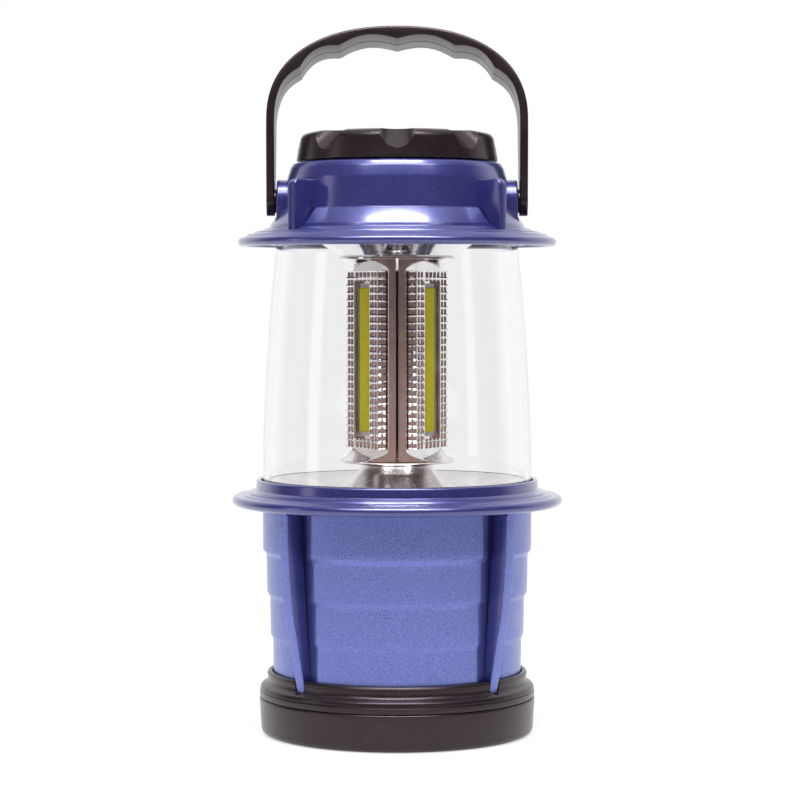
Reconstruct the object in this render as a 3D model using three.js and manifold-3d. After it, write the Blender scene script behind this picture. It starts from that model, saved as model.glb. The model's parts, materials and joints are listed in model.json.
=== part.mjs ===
// Camping lantern: a battery base for three D cells, a clear globe over a three-sided LED post,
// a crown with a dimmer knob, and a carrying handle.
//
// Millimetres. +Z is up and -Y is the front. The origin is the middle of the base's underside,
// and the handle's pivot line is parallel to X. Azimuths are in degrees from +X towards +Y.
//
// Every shape function returns a BufferGeometry. A revolved shape is given as [radius, height]
// points; it either starts and ends on the axis or closes on itself.

import * as THREE from 'three';
import { mergeVertices } from 'three/addons/utils/BufferGeometryUtils.js';
import Module from 'manifold-3d';

const wasm = await Module();
wasm.setup();

// ---- Driving dimensions ----------------------------------------------------------------------

const GAP = 0.3; // between fixed pieces that meet
const ROUND = 28; // sides of a large visible round
const HIDDEN_ROUND = 20; // sides of a large round inside the lantern
const SMALL_ROUND = 8; // sides of a screw or hole

const CELL_RADIUS = 17.1; // a D cell
const CELL_LENGTH = 61.5;
const CELL_CIRCLE = 20.0; // from the lantern's axis to each cell's axis
const CELL_BOTTOM = 8.0;
const CELL_AZIMUTHS = [90, 210, 330];
const RETURN_AZIMUTH = 282; // the strip that brings the current back up beside the cells

const COVER_HEIGHT = 12.8;
const COVER_RADIUS = 48.3;
const COVER_BORE = 45.2;
const COVER_FLOOR = 2.5;

const SKIRT_RADIUS = 42.4; // the threaded skirt under the base ring
const SKIRT_BORE = 39.8;
const SKIRT_BOTTOM = 4.5;
const RING_BOTTOM = 13.1;
const RING_TOP = 22.0;

const THREAD_LEAD = 12.0; // drop of the cover in one turn
const THREAD_STARTS = 3;
const THREAD_WIDTH = 1.5;
const THREAD_HEIGHT = 1.9;

const SLEEVE_BORE = 37.8; // the tube round the three cells
const SLEEVE_WALL = 1.5;

const BAND_TOPS = [34.8, 49.5, 64.4, 79.6]; // the housing's four stepped bands
const BAND_RADII = [[43.4, 43.5], [44.0, 44.8], [45.5, 46.1], [47.0, 47.0]];
const BAND_BEVEL = 0.6; // where each band steps in to the one below
const HOUSING_BOTTOM = 18.3;
const HOUSING_WALL = 2.2;
const TAPER_BOTTOM = 34.0; // the bay's wall is straight below this and widens above it
const DECK_BOTTOM = 76.0; // the housing's inner floor under the light
const DECK_TOP = 78.0;

const FIN_AZIMUTHS = [43, 137, 223, 317]; // ribs on the base and fins on the crown
const RIB_THICKNESS = 3.9;
const FIN_THICKNESS = 3.5;

const FLANGE_BOTTOM = 79.9;
const LEDGE_TOP = 83.1;
const COLLAR_TOP = 89.0;

const GLOBE_WALL = 2.0;
const GLOBE_BOTTOM = 84.4;
const GLOBE_TOP = 173.6;

const POST_BOTTOM = 95.8;
const POST_TOP = 165.6;
const POST_FACE = 10.8; // from the axis to each flat side of the post
const POST_EDGE = 16.9; // from the axis to each blunt edge
const POST_BORE = 3.6;
const PANEL_AZIMUTHS = [-30, 210, 90]; // one edge of the post points to the front
const TRAY_WIDTH = 24.6;
const TRAY_BOTTOM = 97.6;
const TRAY_TOP = 164.0;
const TRAY_DEPTH = 3.1;
const SLOT_WIDTH = 10.8;
const SLOT_BOTTOM = 103.4;
const SLOT_TOP = 158.0;
const STRIP_WIDTH = 6.8;

const SEAT_TOP = 176.0; // the crown's ledge over the globe
const CROWN_TOP = 199.2;
const CROWN_ROOF = 196.8;
const FIN_BOTTOM = 175.0; // fins and ears start inside the crown's flange
const BOSS_CIRCLE = 26.0; // crown screws, from the axis
const VALLEY_AZIMUTHS = [30, 150, 270]; // between the cells, where the screws go
const CORE_CIRCLE = 6.4; // screws into the ends of the post
const FLANGE_SCREW_CIRCLE = 41.3; // screws from the housing's deck up into the flange
const SCREW_SHANK = 1.35;
const SCREW_HEAD = 2.5;
const PILOT = SCREW_SHANK + GAP;
const WIRE_RADIUS = 0.7;
const WIRE_HOLE = 1.2;
const POSITIVE_WIRE = [0, 21];
const NEGATIVE_WIRE = [7.1, -33.3];
const DIMMER_WIRE = [3.2, 15.8]; // one each side of the middle

const KNOB_BOTTOM = 199.4 + GAP;
const KNOB_TOP = 209.7;
const KNOB_SCOOPS = 8;
const SCOOP_RADIUS = 7.0;
const SCOOP_SLOPE = 35; // degrees below level, going outwards
const SCOOP_AXIS = [38.5, 208.6]; // a point on the scoop's axis: radius and height
const BUSHING_RADIUS = 4.2;
const SHAFT_RADIUS = 2.9;

const PIVOT_HEIGHT = 186.0;
const EAR_INSIDE = 37.0;
const EAR_OUTSIDE = 41.9;
const EAR_RADIUS = 7.4;
const PEG_RADIUS = 3.2;
const HANDLE_INSIDE = 42.6;
const HANDLE_OUTSIDE = 45.5;
const HANDLE_WIDTH = 20.0;
const HANDLE_RISE = 60.3; // from the pivot line to the top of the grip
const HANDLE_SHOULDER = 27.0; // where the straight arms end and the bow begins
const HANDLE_LEAN = 9; // degrees towards the back, as it is left standing

// ---- Materials -------------------------------------------------------------------------------

const LOOKS = {
  blue_shell: { color: 0x3b46a8, roughness: 0.38, metalness: 0.45 },
  blue_gloss: { color: 0x2e2f8a, roughness: 0.25, metalness: 0.45 },
  black_plastic: { color: 0x1c191b, roughness: 0.45, metalness: 0 },
  clear_plastic: { color: 0xf4f6f8, roughness: 0.04, metalness: 0, transparent: true, opacity: 0.3 },
  chrome: { color: 0xd8d4d4, roughness: 0.12, metalness: 1 },
  cob_yellow: { color: 0xc9bd2c, roughness: 0.45, metalness: 0 },
  white_plastic: { color: 0xd9d9d2, roughness: 0.5, metalness: 0 },
  seal: { color: 0x2a2a2c, roughness: 0.85, metalness: 0 },
  spring_steel: { color: 0xb9bcc0, roughness: 0.3, metalness: 0.9 },
  board_green: { color: 0x1f6b3a, roughness: 0.5, metalness: 0 },
  control: { color: 0x4a4d52, roughness: 0.4, metalness: 0.4 },
  wire_red: { color: 0xb3201c, roughness: 0.5, metalness: 0 },
  wire_black: { color: 0x161616, roughness: 0.5, metalness: 0 },
  cell_wrap: { color: 0x3f6f4c, roughness: 0.4, metalness: 0.2 },
};

// ---- Geometry helpers ------------------------------------------------------------------------

const radians = THREE.MathUtils.degToRad;

// Welds a geometry's corners, drops its collapsed triangles and turns its faces outwards.
function solidOf(geometry) {
  const bare = geometry.clone();
  bare.deleteAttribute('normal');
  bare.deleteAttribute('uv');
  const welded = mergeVertices(bare, 1e-4);
  const position = welded.getAttribute('position');
  const corner = new THREE.Vector3();
  const next = new THREE.Vector3();
  const last = new THREE.Vector3();
  const triangles = [];
  let volume = 0;
  for (let i = 0; i < welded.index.count; i += 3) {
    const [a, b, c] = [0, 1, 2].map((k) => welded.index.getX(i + k));
    if (a === b || b === c || c === a) continue;
    triangles.push([a, b, c]);
    corner.fromBufferAttribute(position, a);
    next.fromBufferAttribute(position, b);
    last.fromBufferAttribute(position, c);
    volume += corner.dot(next.cross(last));
  }
  const facing = volume < 0 ? triangles.map(([a, b, c]) => [a, c, b]) : triangles;
  return new wasm.Manifold(new wasm.Mesh({
    numProp: 3,
    vertProperties: new Float32Array(position.array),
    triVerts: new Uint32Array(facing.flat()),
  }));
}

function geometryOf(solid) {
  const mesh = solid.getMesh();
  const geometry = new THREE.BufferGeometry();
  geometry.setAttribute('position', new THREE.BufferAttribute(mesh.vertProperties, 3));
  geometry.setIndex(new THREE.BufferAttribute(mesh.triVerts, 1));
  return geometry;
}

function join(...geometries) {
  return geometryOf(geometries.map(solidOf).reduce((sum, solid) => sum.add(solid)));
}

function cut(geometry, ...tools) {
  return geometryOf(tools.map(solidOf).reduce((rest, tool) => rest.subtract(tool), solidOf(geometry)));
}

function common(geometry, other) {
  return geometryOf(solidOf(geometry).intersect(solidOf(other)));
}

function lathe(profile, sides = ROUND) {
  const points = profile.map(([radius, height]) => new THREE.Vector2(radius, height));
  if (profile[0][0] > 0) points.push(points[0].clone());
  return new THREE.LatheGeometry(points, sides).rotateX(Math.PI / 2);
}

// Points along an arc of a profile, from one angle to another, both ends included.
function arc([radius, height], size, from, to, steps = 5) {
  return Array.from({ length: steps + 1 }, (_, i) => {
    const angle = radians(from + ((to - from) * i) / steps);
    return [radius + size * Math.cos(angle), height + size * Math.sin(angle)];
  });
}

function tube(outer, inner, bottom, top, sides = HIDDEN_ROUND) {
  return lathe([[inner, bottom], [outer, bottom], [outer, top], [inner, top]], sides);
}

function rod(radius, bottom, top, sides = SMALL_ROUND) {
  const geometry = new THREE.CylinderGeometry(radius, radius, top - bottom, sides);
  return geometry.rotateX(Math.PI / 2).translate(0, 0, (bottom + top) / 2);
}

function rodAlongX(radius, from, to, height, sides = 16) {
  const geometry = new THREE.CylinderGeometry(radius, radius, to - from, sides);
  return geometry.rotateZ(Math.PI / 2).translate((from + to) / 2, 0, height);
}

function box([x0, x1], [y0, y1], [z0, z1]) {
  const geometry = new THREE.BoxGeometry(x1 - x0, y1 - y0, z1 - z0);
  return geometry.translate((x0 + x1) / 2, (y0 + y1) / 2, (z0 + z1) / 2);
}

function outline(points) {
  return new THREE.Shape(points.map(([x, y]) => new THREE.Vector2(x, y)));
}

// A flat outline in the XY plane, raised from one height to another.
function slab(points, bottom, top) {
  const settings = { depth: top - bottom, bevelEnabled: false };
  return new THREE.ExtrudeGeometry(outline(points), settings).translate(0, 0, bottom);
}

// An outline of [x, height] points, given a thickness centred on the XZ plane.
function upright(points, thickness) {
  const settings = { depth: thickness, bevelEnabled: false };
  const geometry = new THREE.ExtrudeGeometry(outline(points), settings);
  return geometry.translate(0, 0, -thickness / 2).rotateX(Math.PI / 2);
}

// Moves a geometry out from the axis and round to an azimuth.
function placed(geometry, azimuth, radius = 0) {
  return geometry.clone().translate(radius, 0, 0).rotateZ(radians(azimuth));
}

function around(geometry, azimuths, radius = 0) {
  return azimuths.map((azimuth) => placed(geometry, azimuth, radius));
}

function circle(radius, sides) {
  return arc([0, 0], radius, 0, 360 - 360 / sides, sides - 1);
}

// A bar bent round the axis that climbs with the thread, one end at an azimuth.
function threadRidge(inner, outer, azimuth, sweep, height) {
  const steps = 10;
  const bar = new THREE.BoxGeometry(sweep, outer - inner, THREAD_WIDTH, steps, 1, 1);
  const position = bar.getAttribute('position');
  for (let i = 0; i < position.count; i += 1) {
    const along = position.getX(i) + sweep / 2;
    const radius = (inner + outer) / 2 - position.getY(i);
    const angle = radians(azimuth + along);
    const climb = height + (THREAD_LEAD * along) / 360;
    position.setXYZ(i, radius * Math.cos(angle), radius * Math.sin(angle), climb + position.getZ(i));
  }
  return bar;
}

// A wire that follows points on a smooth curve.
function wire(points, steps) {
  const stops = points.map((point) => new THREE.Vector3(...point));
  const extrudePath = new THREE.CatmullRomCurve3(stops, false, 'centripetal');
  const settings = { steps, extrudePath, bevelEnabled: false };
  return new THREE.ExtrudeGeometry(outline(circle(WIRE_RADIUS, 5)), settings);
}

class Coil extends THREE.Curve {
  constructor(bottomRadius, topRadius, bottom, top, turns) {
    super();
    Object.assign(this, { bottomRadius, topRadius, bottom, top, turns });
  }

  getPoint(t) {
    const angle = 2 * Math.PI * this.turns * t;
    const radius = THREE.MathUtils.lerp(this.bottomRadius, this.topRadius, t);
    const height = THREE.MathUtils.lerp(this.bottom, this.top, t);
    return new THREE.Vector3(radius * Math.cos(angle), radius * Math.sin(angle), height);
  }
}

function coilSpring(bottomRadius, topRadius, bottom, top, turns) {
  const wireRadius = 0.4;
  const path = new Coil(bottomRadius, topRadius, bottom + wireRadius, top - wireRadius, turns);
  const settings = { steps: Math.round(turns * 8), extrudePath: path, bevelEnabled: false };
  return new THREE.ExtrudeGeometry(outline(circle(wireRadius, 5)), settings);
}

// ---- The assembly ----------------------------------------------------------------------------

const lantern = new THREE.Group();

function add(name, geometry, look) {
  const mesh = new THREE.Mesh(geometryOf(solidOf(geometry)), new THREE.MeshStandardMaterial(LOOKS[look]));
  mesh.name = name;
  lantern.add(mesh);
  return mesh;
}

function screw(bottom, headBottom, headHeight = 1.6) {
  return join(
    rod(SCREW_SHANK, bottom, headBottom + 0.1),
    rod(SCREW_HEAD, headBottom, headBottom + headHeight),
  );
}

// A screw driven upwards, its head at the bottom.
function screwFromBelow(headBottom, headHeight, top) {
  return join(
    rod(SCREW_HEAD, headBottom, headBottom + headHeight),
    rod(SCREW_SHANK, headBottom + headHeight - 0.1, top),
  );
}

// ---- Battery cover, threaded on to the base ring ---------------------------------------------

function batteryCover() {
  const shell = lathe([
    [0, 0.8],
    [30, 0.8],
    [31, 0],
    [45.6, 0],
    ...arc([45.2, 2.4], 2.4, -70, -10, 3),
    [47.8, 3.6],
    [COVER_RADIUS, 12.3],
    [COVER_RADIUS - 0.3, COVER_HEIGHT],
    [COVER_BORE, COVER_HEIGHT],
    [COVER_BORE, COVER_FLOOR],
    [0, COVER_FLOOR],
  ]);
  const ridges = threadStarts().map((azimuth) => {
    return threadRidge(COVER_BORE - 2.2, COVER_BORE + 0.4, azimuth, 100, 7.4);
  });
  return join(shell, ...ridges);
}

function threadStarts() {
  return Array.from({ length: THREAD_STARTS }, (_, i) => (360 / THREAD_STARTS) * i);
}

function baseRing() {
  const ring = lathe([
    [SKIRT_BORE, SKIRT_BOTTOM],
    [SKIRT_RADIUS, SKIRT_BOTTOM],
    [SKIRT_RADIUS, RING_BOTTOM],
    [COVER_RADIUS - 0.3, RING_BOTTOM],
    [48.2, 13.4],
    ...arc([46.4, 16.2], 1.8, 0, 80, 2),
    [45.6, 18.4],
    [45.4, 20.2],
    ...arc([44.9, 21.3], 0.7, -20, 90, 2),
    [43.8, RING_TOP],
    [43.8, HOUSING_BOTTOM - GAP],
    [SKIRT_BORE, HOUSING_BOTTOM - GAP],
  ]);
  const ridges = threadStarts().map((azimuth) => {
    return threadRidge(SKIRT_RADIUS - 0.4, SKIRT_RADIUS + THREAD_HEIGHT, azimuth, 110, 5.4);
  });
  const halfSlot = RIB_THICKNESS / 2 + 0.45;
  const slot = box([43, 50], [-halfSlot, halfSlot], [17.4, 24]);
  return cut(join(ring, ...ridges), ...around(slot, FIN_AZIMUTHS));
}

function coverSeal() {
  return tube(44.7, SKIRT_RADIUS + GAP, 12.0, 12.8, ROUND);
}

// ---- Base housing ----------------------------------------------------------------------------

// The housing's outer line from bottom to top, two points for each band.
function bandProfile() {
  return BAND_TOPS.flatMap((top, i) => {
    const [low, high] = BAND_RADII[i];
    const bottom = i === 0 ? HOUSING_BOTTOM : BAND_TOPS[i - 1] + BAND_BEVEL;
    const shoulder = i === BAND_TOPS.length - 1 ? top : top - BAND_BEVEL;
    return [[low, bottom], [high, shoulder]];
  });
}

// One of the tusk-shaped ribs, its tip reaching into a slot in the base ring.
function rib() {
  return upright([
    [41.6, 18.6],
    [44.7, 17.9],
    [45.3, 20.4],
    [46.8, 26.8],
    [48.5, 35.5],
    [50.3, 44.0],
    [51.4, 52.7],
    [52.4, 65.5],
    [52.9, BAND_TOPS[3]],
    [46.0, BAND_TOPS[3]],
    [43.4, 40.0],
  ], RIB_THICKNESS);
}

function lowerHousing() {
  const bayRadius = BAND_RADII[0][0] - HOUSING_WALL;
  const deckRadius = BAND_RADII[3][0] - HOUSING_WALL;
  const shell = lathe([
    [bayRadius, HOUSING_BOTTOM],
    ...bandProfile(),
    [deckRadius, BAND_TOPS[3]],
    [deckRadius, DECK_TOP],
    [POST_BORE, DECK_TOP],
    [POST_BORE, DECK_BOTTOM],
    [deckRadius, DECK_BOTTOM],
    [bayRadius, TAPER_BOTTOM],
  ]);
  const ribs = around(rib(), FIN_AZIMUTHS);
  const bay = lathe([
    [0, 10],
    [bayRadius, 10],
    [bayRadius, TAPER_BOTTOM],
    [deckRadius, DECK_BOTTOM],
    [0, DECK_BOTTOM],
  ]);
  const hole = rod(PILOT, DECK_BOTTOM - 1, DECK_TOP + 1);
  return cut(
    join(shell, ...ribs),
    bay,
    ...around(hole, VALLEY_AZIMUTHS, FLANGE_SCREW_CIRCLE),
    ...around(hole, VALLEY_AZIMUTHS, CORE_CIRCLE),
    ...wireHoles([POSITIVE_WIRE, NEGATIVE_WIRE, DIMMER_WIRE, mirrored(DIMMER_WIRE)]),
  );
}

function mirrored([x, ...rest]) {
  return [-x, ...rest];
}

function wireHoles(places) {
  return places.map(([x, y]) => rod(WIRE_HOLE, 70, DECK_TOP + 1, 8).translate(x, y, 0));
}

function batterySleeve() {
  const wall = tube(SLEEVE_BORE + SLEEVE_WALL, SLEEVE_BORE, 5.6, 72.0);
  const guide = box([30.5, SLEEVE_BORE + 0.5], [-1.3, 1.3], [9.5, 72.0]);
  return join(wall, ...around(guide, VALLEY_AZIMUTHS));
}

// ---- Flange, globe and their seals -----------------------------------------------------------

function flangeRing() {
  const ring = lathe([
    [39.5, FLANGE_BOTTOM],
    [54.6, FLANGE_BOTTOM],
    ...arc([55.9, 81.7], 1.8, -90, 90, 4),
    [54.4, 83.7],
    [51.9, 84.5],
    [49.3, 85.2],
    [49.3, COLLAR_TOP],
    [47.7, COLLAR_TOP],
    [47.7, LEDGE_TOP],
    [39.5, LEDGE_TOP],
  ]);
  const boss = rod(3.0, DECK_TOP + GAP, FLANGE_BOTTOM + 0.5);
  const pilot = rod(PILOT, DECK_TOP, LEDGE_TOP - 0.8);
  return cut(
    join(ring, ...around(boss, VALLEY_AZIMUTHS, FLANGE_SCREW_CIRCLE)),
    ...around(pilot, VALLEY_AZIMUTHS, FLANGE_SCREW_CIRCLE),
  );
}

function globe() {
  const outside = [
    [47.1, GLOBE_BOTTOM],
    [46.8, 105],
    [44.9, 140],
    [43.7, 155],
    [41.9, GLOBE_TOP],
  ];
  const inside = outside.map(([radius, height]) => [radius - GLOBE_WALL, height]);
  return lathe([...outside, ...inside.reverse()]);
}

// ---- Reflectors and LED post -----------------------------------------------------------------

function lowerReflector() {
  return lathe([
    [40.2, LEDGE_TOP + GAP],
    [41.4, LEDGE_TOP + GAP],
    [41.4, 87.0],
    [44.6, 88.0],
    [44.6, 89.0],
    [36, 86.6],
    [28, 86.0],
    [20, 87.4],
    [14.8, 90.2],
    [12.2, 94.0],
    [10.8, 94.0],
    [13.4, 89.6],
    [19.4, 86.4],
    [28, 85.0],
    [36, 85.6],
    [40.2, 86.4],
  ], HIDDEN_ROUND);
}

function upperReflector() {
  return lathe([
    [9.4, 166.9],
    [21.2, 166.9],
    [22.4, 168.2],
    [28.6, 172.2],
    [31.5, GLOBE_TOP + GAP],
    [41.8, GLOBE_TOP + GAP],
    [41.8, 174.8],
    [30.8, 174.8],
    [27.6, 172.8],
    [21.6, 168.9],
    [20.6, 167.8],
    [9.4, 167.8],
  ], HIDDEN_ROUND);
}

// The post's section: three flat sides for the panels, joined by three blunt edges.
function postSection() {
  const tip = 2 * POST_FACE;
  const halfEdge = (tip - POST_EDGE) * Math.tan(radians(30));
  return PANEL_AZIMUTHS.toSorted((a, b) => a - b).flatMap((azimuth) => {
    const edge = radians(azimuth - 60);
    return [-halfEdge, halfEdge].map((side) => [
      POST_EDGE * Math.cos(edge) - side * Math.sin(edge),
      POST_EDGE * Math.sin(edge) + side * Math.cos(edge),
    ]);
  });
}

function ledCore() {
  const foot = lathe([
    [0, DECK_TOP + GAP],
    [9.8, DECK_TOP + GAP],
    [9.8, 94.4],
    [19.9, 94.8],
    [19.9, POST_BOTTOM],
    [0, POST_BOTTOM],
  ], HIDDEN_ROUND);
  const shaft = slab(postSection(), POST_BOTTOM - 0.2, POST_TOP + 0.2);
  const cap = lathe([
    [0, POST_TOP],
    [20.3, POST_TOP],
    [20.3, 166.4],
    [9.0, 166.5],
    [9.0, SEAT_TOP],
    [0, SEAT_TOP],
  ], HIDDEN_ROUND);
  const lowPilot = rod(1.5, DECK_TOP, 90);
  const highPilot = rod(1.5, 168, SEAT_TOP + 1);
  return cut(
    join(foot, shaft, cap),
    rod(POST_BORE, DECK_TOP, SEAT_TOP + 1),
    ...around(lowPilot, VALLEY_AZIMUTHS, CORE_CIRCLE),
    ...around(highPilot, VALLEY_AZIMUTHS, CORE_CIRCLE),
  );
}

function ledTray() {
  const back = POST_FACE + GAP;
  const half = TRAY_WIDTH / 2;
  const plate = box([back, back + TRAY_DEPTH], [-half, half], [TRAY_BOTTOM, TRAY_TOP]);
  const slot = box([back + 1, back + 5], [-SLOT_WIDTH / 2, SLOT_WIDTH / 2], [SLOT_BOTTOM, SLOT_TOP]);
  return cut(plate, slot);
}

function cobStrip() {
  const back = POST_FACE + GAP + 1 + GAP;
  const half = STRIP_WIDTH / 2;
  return box([back, back + 0.7], [-half, half], [SLOT_BOTTOM + 0.8, SLOT_TOP - 0.8]);
}

// ---- Crown -----------------------------------------------------------------------------------

function fin() {
  return upright([
    [36.5, FIN_BOTTOM],
    [49.0, FIN_BOTTOM],
    [49.0, 190.3],
    ...arc([46.8, 190.3], 2.2, 0, 90, 3).slice(1),
    [36.5, 192.5],
  ], FIN_THICKNESS);
}

function ear() {
  const profile = [
    [-EAR_RADIUS, FIN_BOTTOM],
    [EAR_RADIUS, FIN_BOTTOM],
    ...arc([0, PIVOT_HEIGHT], EAR_RADIUS, 0, 180, 8),
  ];
  const plate = upright(profile, EAR_OUTSIDE - EAR_INSIDE);
  return plate.rotateZ(Math.PI / 2).translate((EAR_INSIDE + EAR_OUTSIDE) / 2, 0, 0);
}

function crownHousing() {
  const shell = lathe([
    [42.7, 170.6],
    [44.4, 170.6],
    [44.6, 172.0],
    [53.4, 172.0],
    [54.0, 170.4],
    ...arc([54.0, 171.7], 1.6, -60, 80, 3),
    [53.2, 175.0],
    [44.3, 176.9],
    [43.3, 178.7],
    [40.6, 182.6],
    [39.5, 183.4],
    [38.3, 194.0],
    [37.5, 197.3],
    ...arc([35.4, 196.9], 2.3, 10, 85, 3),
    [3, CROWN_TOP],
    [3, CROWN_ROOF],
    [35.6, CROWN_ROOF],
    [37.0, 183.0],
    [38.8, SEAT_TOP],
    [42.7, SEAT_TOP],
  ]);
  const boss = rod(4.4, 178.9, CROWN_ROOF + 0.5);
  const body = join(shell, ...around(fin(), FIN_AZIMUTHS), ear(), ear().rotateZ(Math.PI));
  const solid = join(body, ...around(boss, VALLEY_AZIMUTHS, BOSS_CIRCLE));
  return cut(
    solid,
    crownCavity(),
    rod(BUSHING_RADIUS + GAP, CROWN_ROOF - 1, CROWN_TOP + 1, 16),
    ...around(rod(SCREW_HEAD + 0.6, 181.0, CROWN_TOP + 1), VALLEY_AZIMUTHS, BOSS_CIRCLE),
    ...around(rod(PILOT, 178.0, 182.0), VALLEY_AZIMUTHS, BOSS_CIRCLE),
    rodAlongX(PEG_RADIUS + 0.25, -50, 50, PIVOT_HEIGHT),
  );
}

// The ring of space just inside the crown's wall, which fins and ears must not enter.
function crownCavity() {
  return lathe([
    [31.0, SEAT_TOP - 2],
    [42.7, SEAT_TOP - 2],
    [42.7, SEAT_TOP],
    [38.8, SEAT_TOP],
    [37.0, 183.0],
    [35.6, CROWN_ROOF],
    [31.0, CROWN_ROOF],
  ]);
}

function crownDeck() {
  const plate = rod(36.5, 176.3, 178.5, HIDDEN_ROUND);
  const boss = rod(3.4, 174.6, 176.5);
  return cut(
    join(plate, ...around(boss, VALLEY_AZIMUTHS, BOSS_CIRCLE)),
    rod(POST_BORE, 170, 180),
    ...around(rod(PILOT, 175.4, 180), VALLEY_AZIMUTHS, BOSS_CIRCLE),
    ...around(rod(PILOT, 170, 180), VALLEY_AZIMUTHS, CORE_CIRCLE),
  );
}

// ---- Dimmer ----------------------------------------------------------------------------------

function potentiometer() {
  const body = rod(8.5, 187.0, 196.4, 16);
  const bushing = rod(BUSHING_RADIUS, 196.0, 202.2, 16);
  const well = rod(SHAFT_RADIUS + 0.25, 197.6, 204, 16);
  return cut(join(body, bushing), well);
}

function bushingNut() {
  const nut = rod(6.8, CROWN_TOP + GAP, 201.4, 6);
  return cut(nut, rod(BUSHING_RADIUS + GAP, 190, 205, 16));
}

function dimmerShaft() {
  const flat = box([1.8, 6], [-6, 6], [202.4, 210]);
  return cut(rod(SHAFT_RADIUS, 197.9, 206.8, 16), flat);
}

function dimmerKnob() {
  const shell = lathe([
    [32.4, KNOB_BOTTOM],
    [35.2, KNOB_BOTTOM],
    [33.8, 206.6],
    ...arc([31.2, 207.2], 2.5, 0, 90, 3),
    [0, KNOB_TOP],
    [0, 206.8],
    [24.4, 206.8],
    [30.8, 202.2],
  ]);
  const hub = rod(5.6, 202.7, 208, 16);
  const scoops = around(scoop(), Array.from({ length: KNOB_SCOOPS }, (_, i) => 45 * i));
  const bore = cut(rod(SHAFT_RADIUS + GAP, 202, 207.1, 16), box([2.1, 6], [-6, 6], [200, 210]));
  return cut(join(shell, hub), bore, ...scoops);
}

// The tool for one finger scoop: a cylinder sloping down and outwards across the upper edge.
function scoop() {
  const cutter = new THREE.CylinderGeometry(SCOOP_RADIUS, SCOOP_RADIUS, 40, 20);
  cutter.rotateZ(Math.PI / 2).rotateY(radians(SCOOP_SLOPE));
  return cutter.translate(SCOOP_AXIS[0], 0, SCOOP_AXIS[1]);
}

// ---- Handle ----------------------------------------------------------------------------------

// The grip's outer line: a flattened bow of the given half-width and rise.
function bow(halfWidth, rise, steps) {
  const exponent = 2 / 2.3;
  return Array.from({ length: steps + 1 }, (_, i) => {
    const angle = (Math.PI * i) / steps;
    const x = Math.sign(Math.cos(angle)) * Math.abs(Math.cos(angle)) ** exponent;
    return [halfWidth * x, HANDLE_SHOULDER + rise * Math.sin(angle) ** exponent];
  });
}

// Finger scallops: how far the grip's inner line dips between its points.
function scallop(x) {
  const points = [0, 21.6, 37.0];
  const size = Math.abs(x);
  if (size >= points[2]) return 0;
  const [from, to] = size < points[1] ? [points[0], points[1]] : [points[1], points[2]];
  const across = (size - from) / (to - from);
  return 1.9 * (1 - Math.sin(Math.PI * across));
}

// The handle is built upright about its pivot line, tapered towards it, and then leant back.
function handle() {
  const outer = bow(HANDLE_OUTSIDE, HANDLE_RISE - HANDLE_SHOULDER, 32);
  const inner = bow(HANDLE_INSIDE, HANDLE_RISE - HANDLE_SHOULDER - 2.7, 32);
  const gripped = inner.map(([x, rise]) => [x, rise - scallop(x) * (rise > 40 ? 1 : 0)]);
  const front = [
    [HANDLE_OUTSIDE, -6],
    ...outer,
    [-HANDLE_OUTSIDE, -6],
    [-HANDLE_INSIDE, -6],
    ...gripped.reverse(),
    [HANDLE_INSIDE, -6],
  ];
  const strap = upright(front, HANDLE_WIDTH + 4);
  const half = HANDLE_WIDTH / 2;
  const side = upright([
    ...arc([0, 0], 5.1, 200, 340, 5),
    [5.6, 3],
    [half, 24],
    [half, 80],
    [-half, 80],
    [-half, 24],
    [-5.6, 3],
  ], 100).rotateZ(Math.PI / 2);
  const shaped = common(strap, side);
  const pegs = [-1, 1].map((way) => {
    const [near, far] = [way * 37.6, way * (HANDLE_INSIDE + 0.5)];
    return rodAlongX(PEG_RADIUS, Math.min(near, far), Math.max(near, far), 0);
  });
  const whole = join(shaped, ...pegs);
  return whole.rotateX(radians(-HANDLE_LEAN)).translate(0, 0, PIVOT_HEIGHT);
}

// ---- Cells and contacts ----------------------------------------------------------------------

function cell(inverted) {
  const can = lathe([
    [0, 0],
    [15.6, 0],
    [CELL_RADIUS, 0.9],
    [CELL_RADIUS, 58.6],
    [15.9, 59.6],
    [5.2, 60.0],
    [4.8, CELL_LENGTH],
    [0, CELL_LENGTH],
  ], 16);
  if (inverted) can.rotateX(Math.PI).translate(0, 0, CELL_LENGTH);
  return can.translate(0, 0, CELL_BOTTOM);
}

// A strip of sheet that joins two cells' ends, with a round pad at each.
function bridge(from, to, bottom, top) {
  const [start, end] = [from, to].map((azimuth) => {
    return new THREE.Vector2(CELL_CIRCLE, 0).rotateAround(new THREE.Vector2(), radians(azimuth));
  });
  const length = start.distanceTo(end);
  const middle = start.clone().add(end).multiplyScalar(0.5);
  const strip = box([-length / 2, length / 2], [-3, 3], [bottom, top]);
  strip.rotateZ(end.clone().sub(start).angle()).translate(middle.x, middle.y, 0);
  const pads = around(rod(6.5, bottom, top, 16), [from, to], CELL_CIRCLE);
  return join(strip, ...pads);
}

// The floating disc under the cells, which drops with the cover.
function contactDisc() {
  const plate = rod(38.4, 3.0, 5.0, HIDDEN_ROUND);
  const rim = tube(36.8, 35.4, 4.8, 7.0);
  return join(plate, rim);
}

function contactPlate() {
  const opening = CORE_CIRCLE + SCREW_HEAD + 0.6;
  return cut(
    rod(37.4, 72.6, 73.8, HIDDEN_ROUND),
    rod(opening, 70, 76, 20),
    ...wireHoles([POSITIVE_WIRE, NEGATIVE_WIRE]),
  );
}

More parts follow.
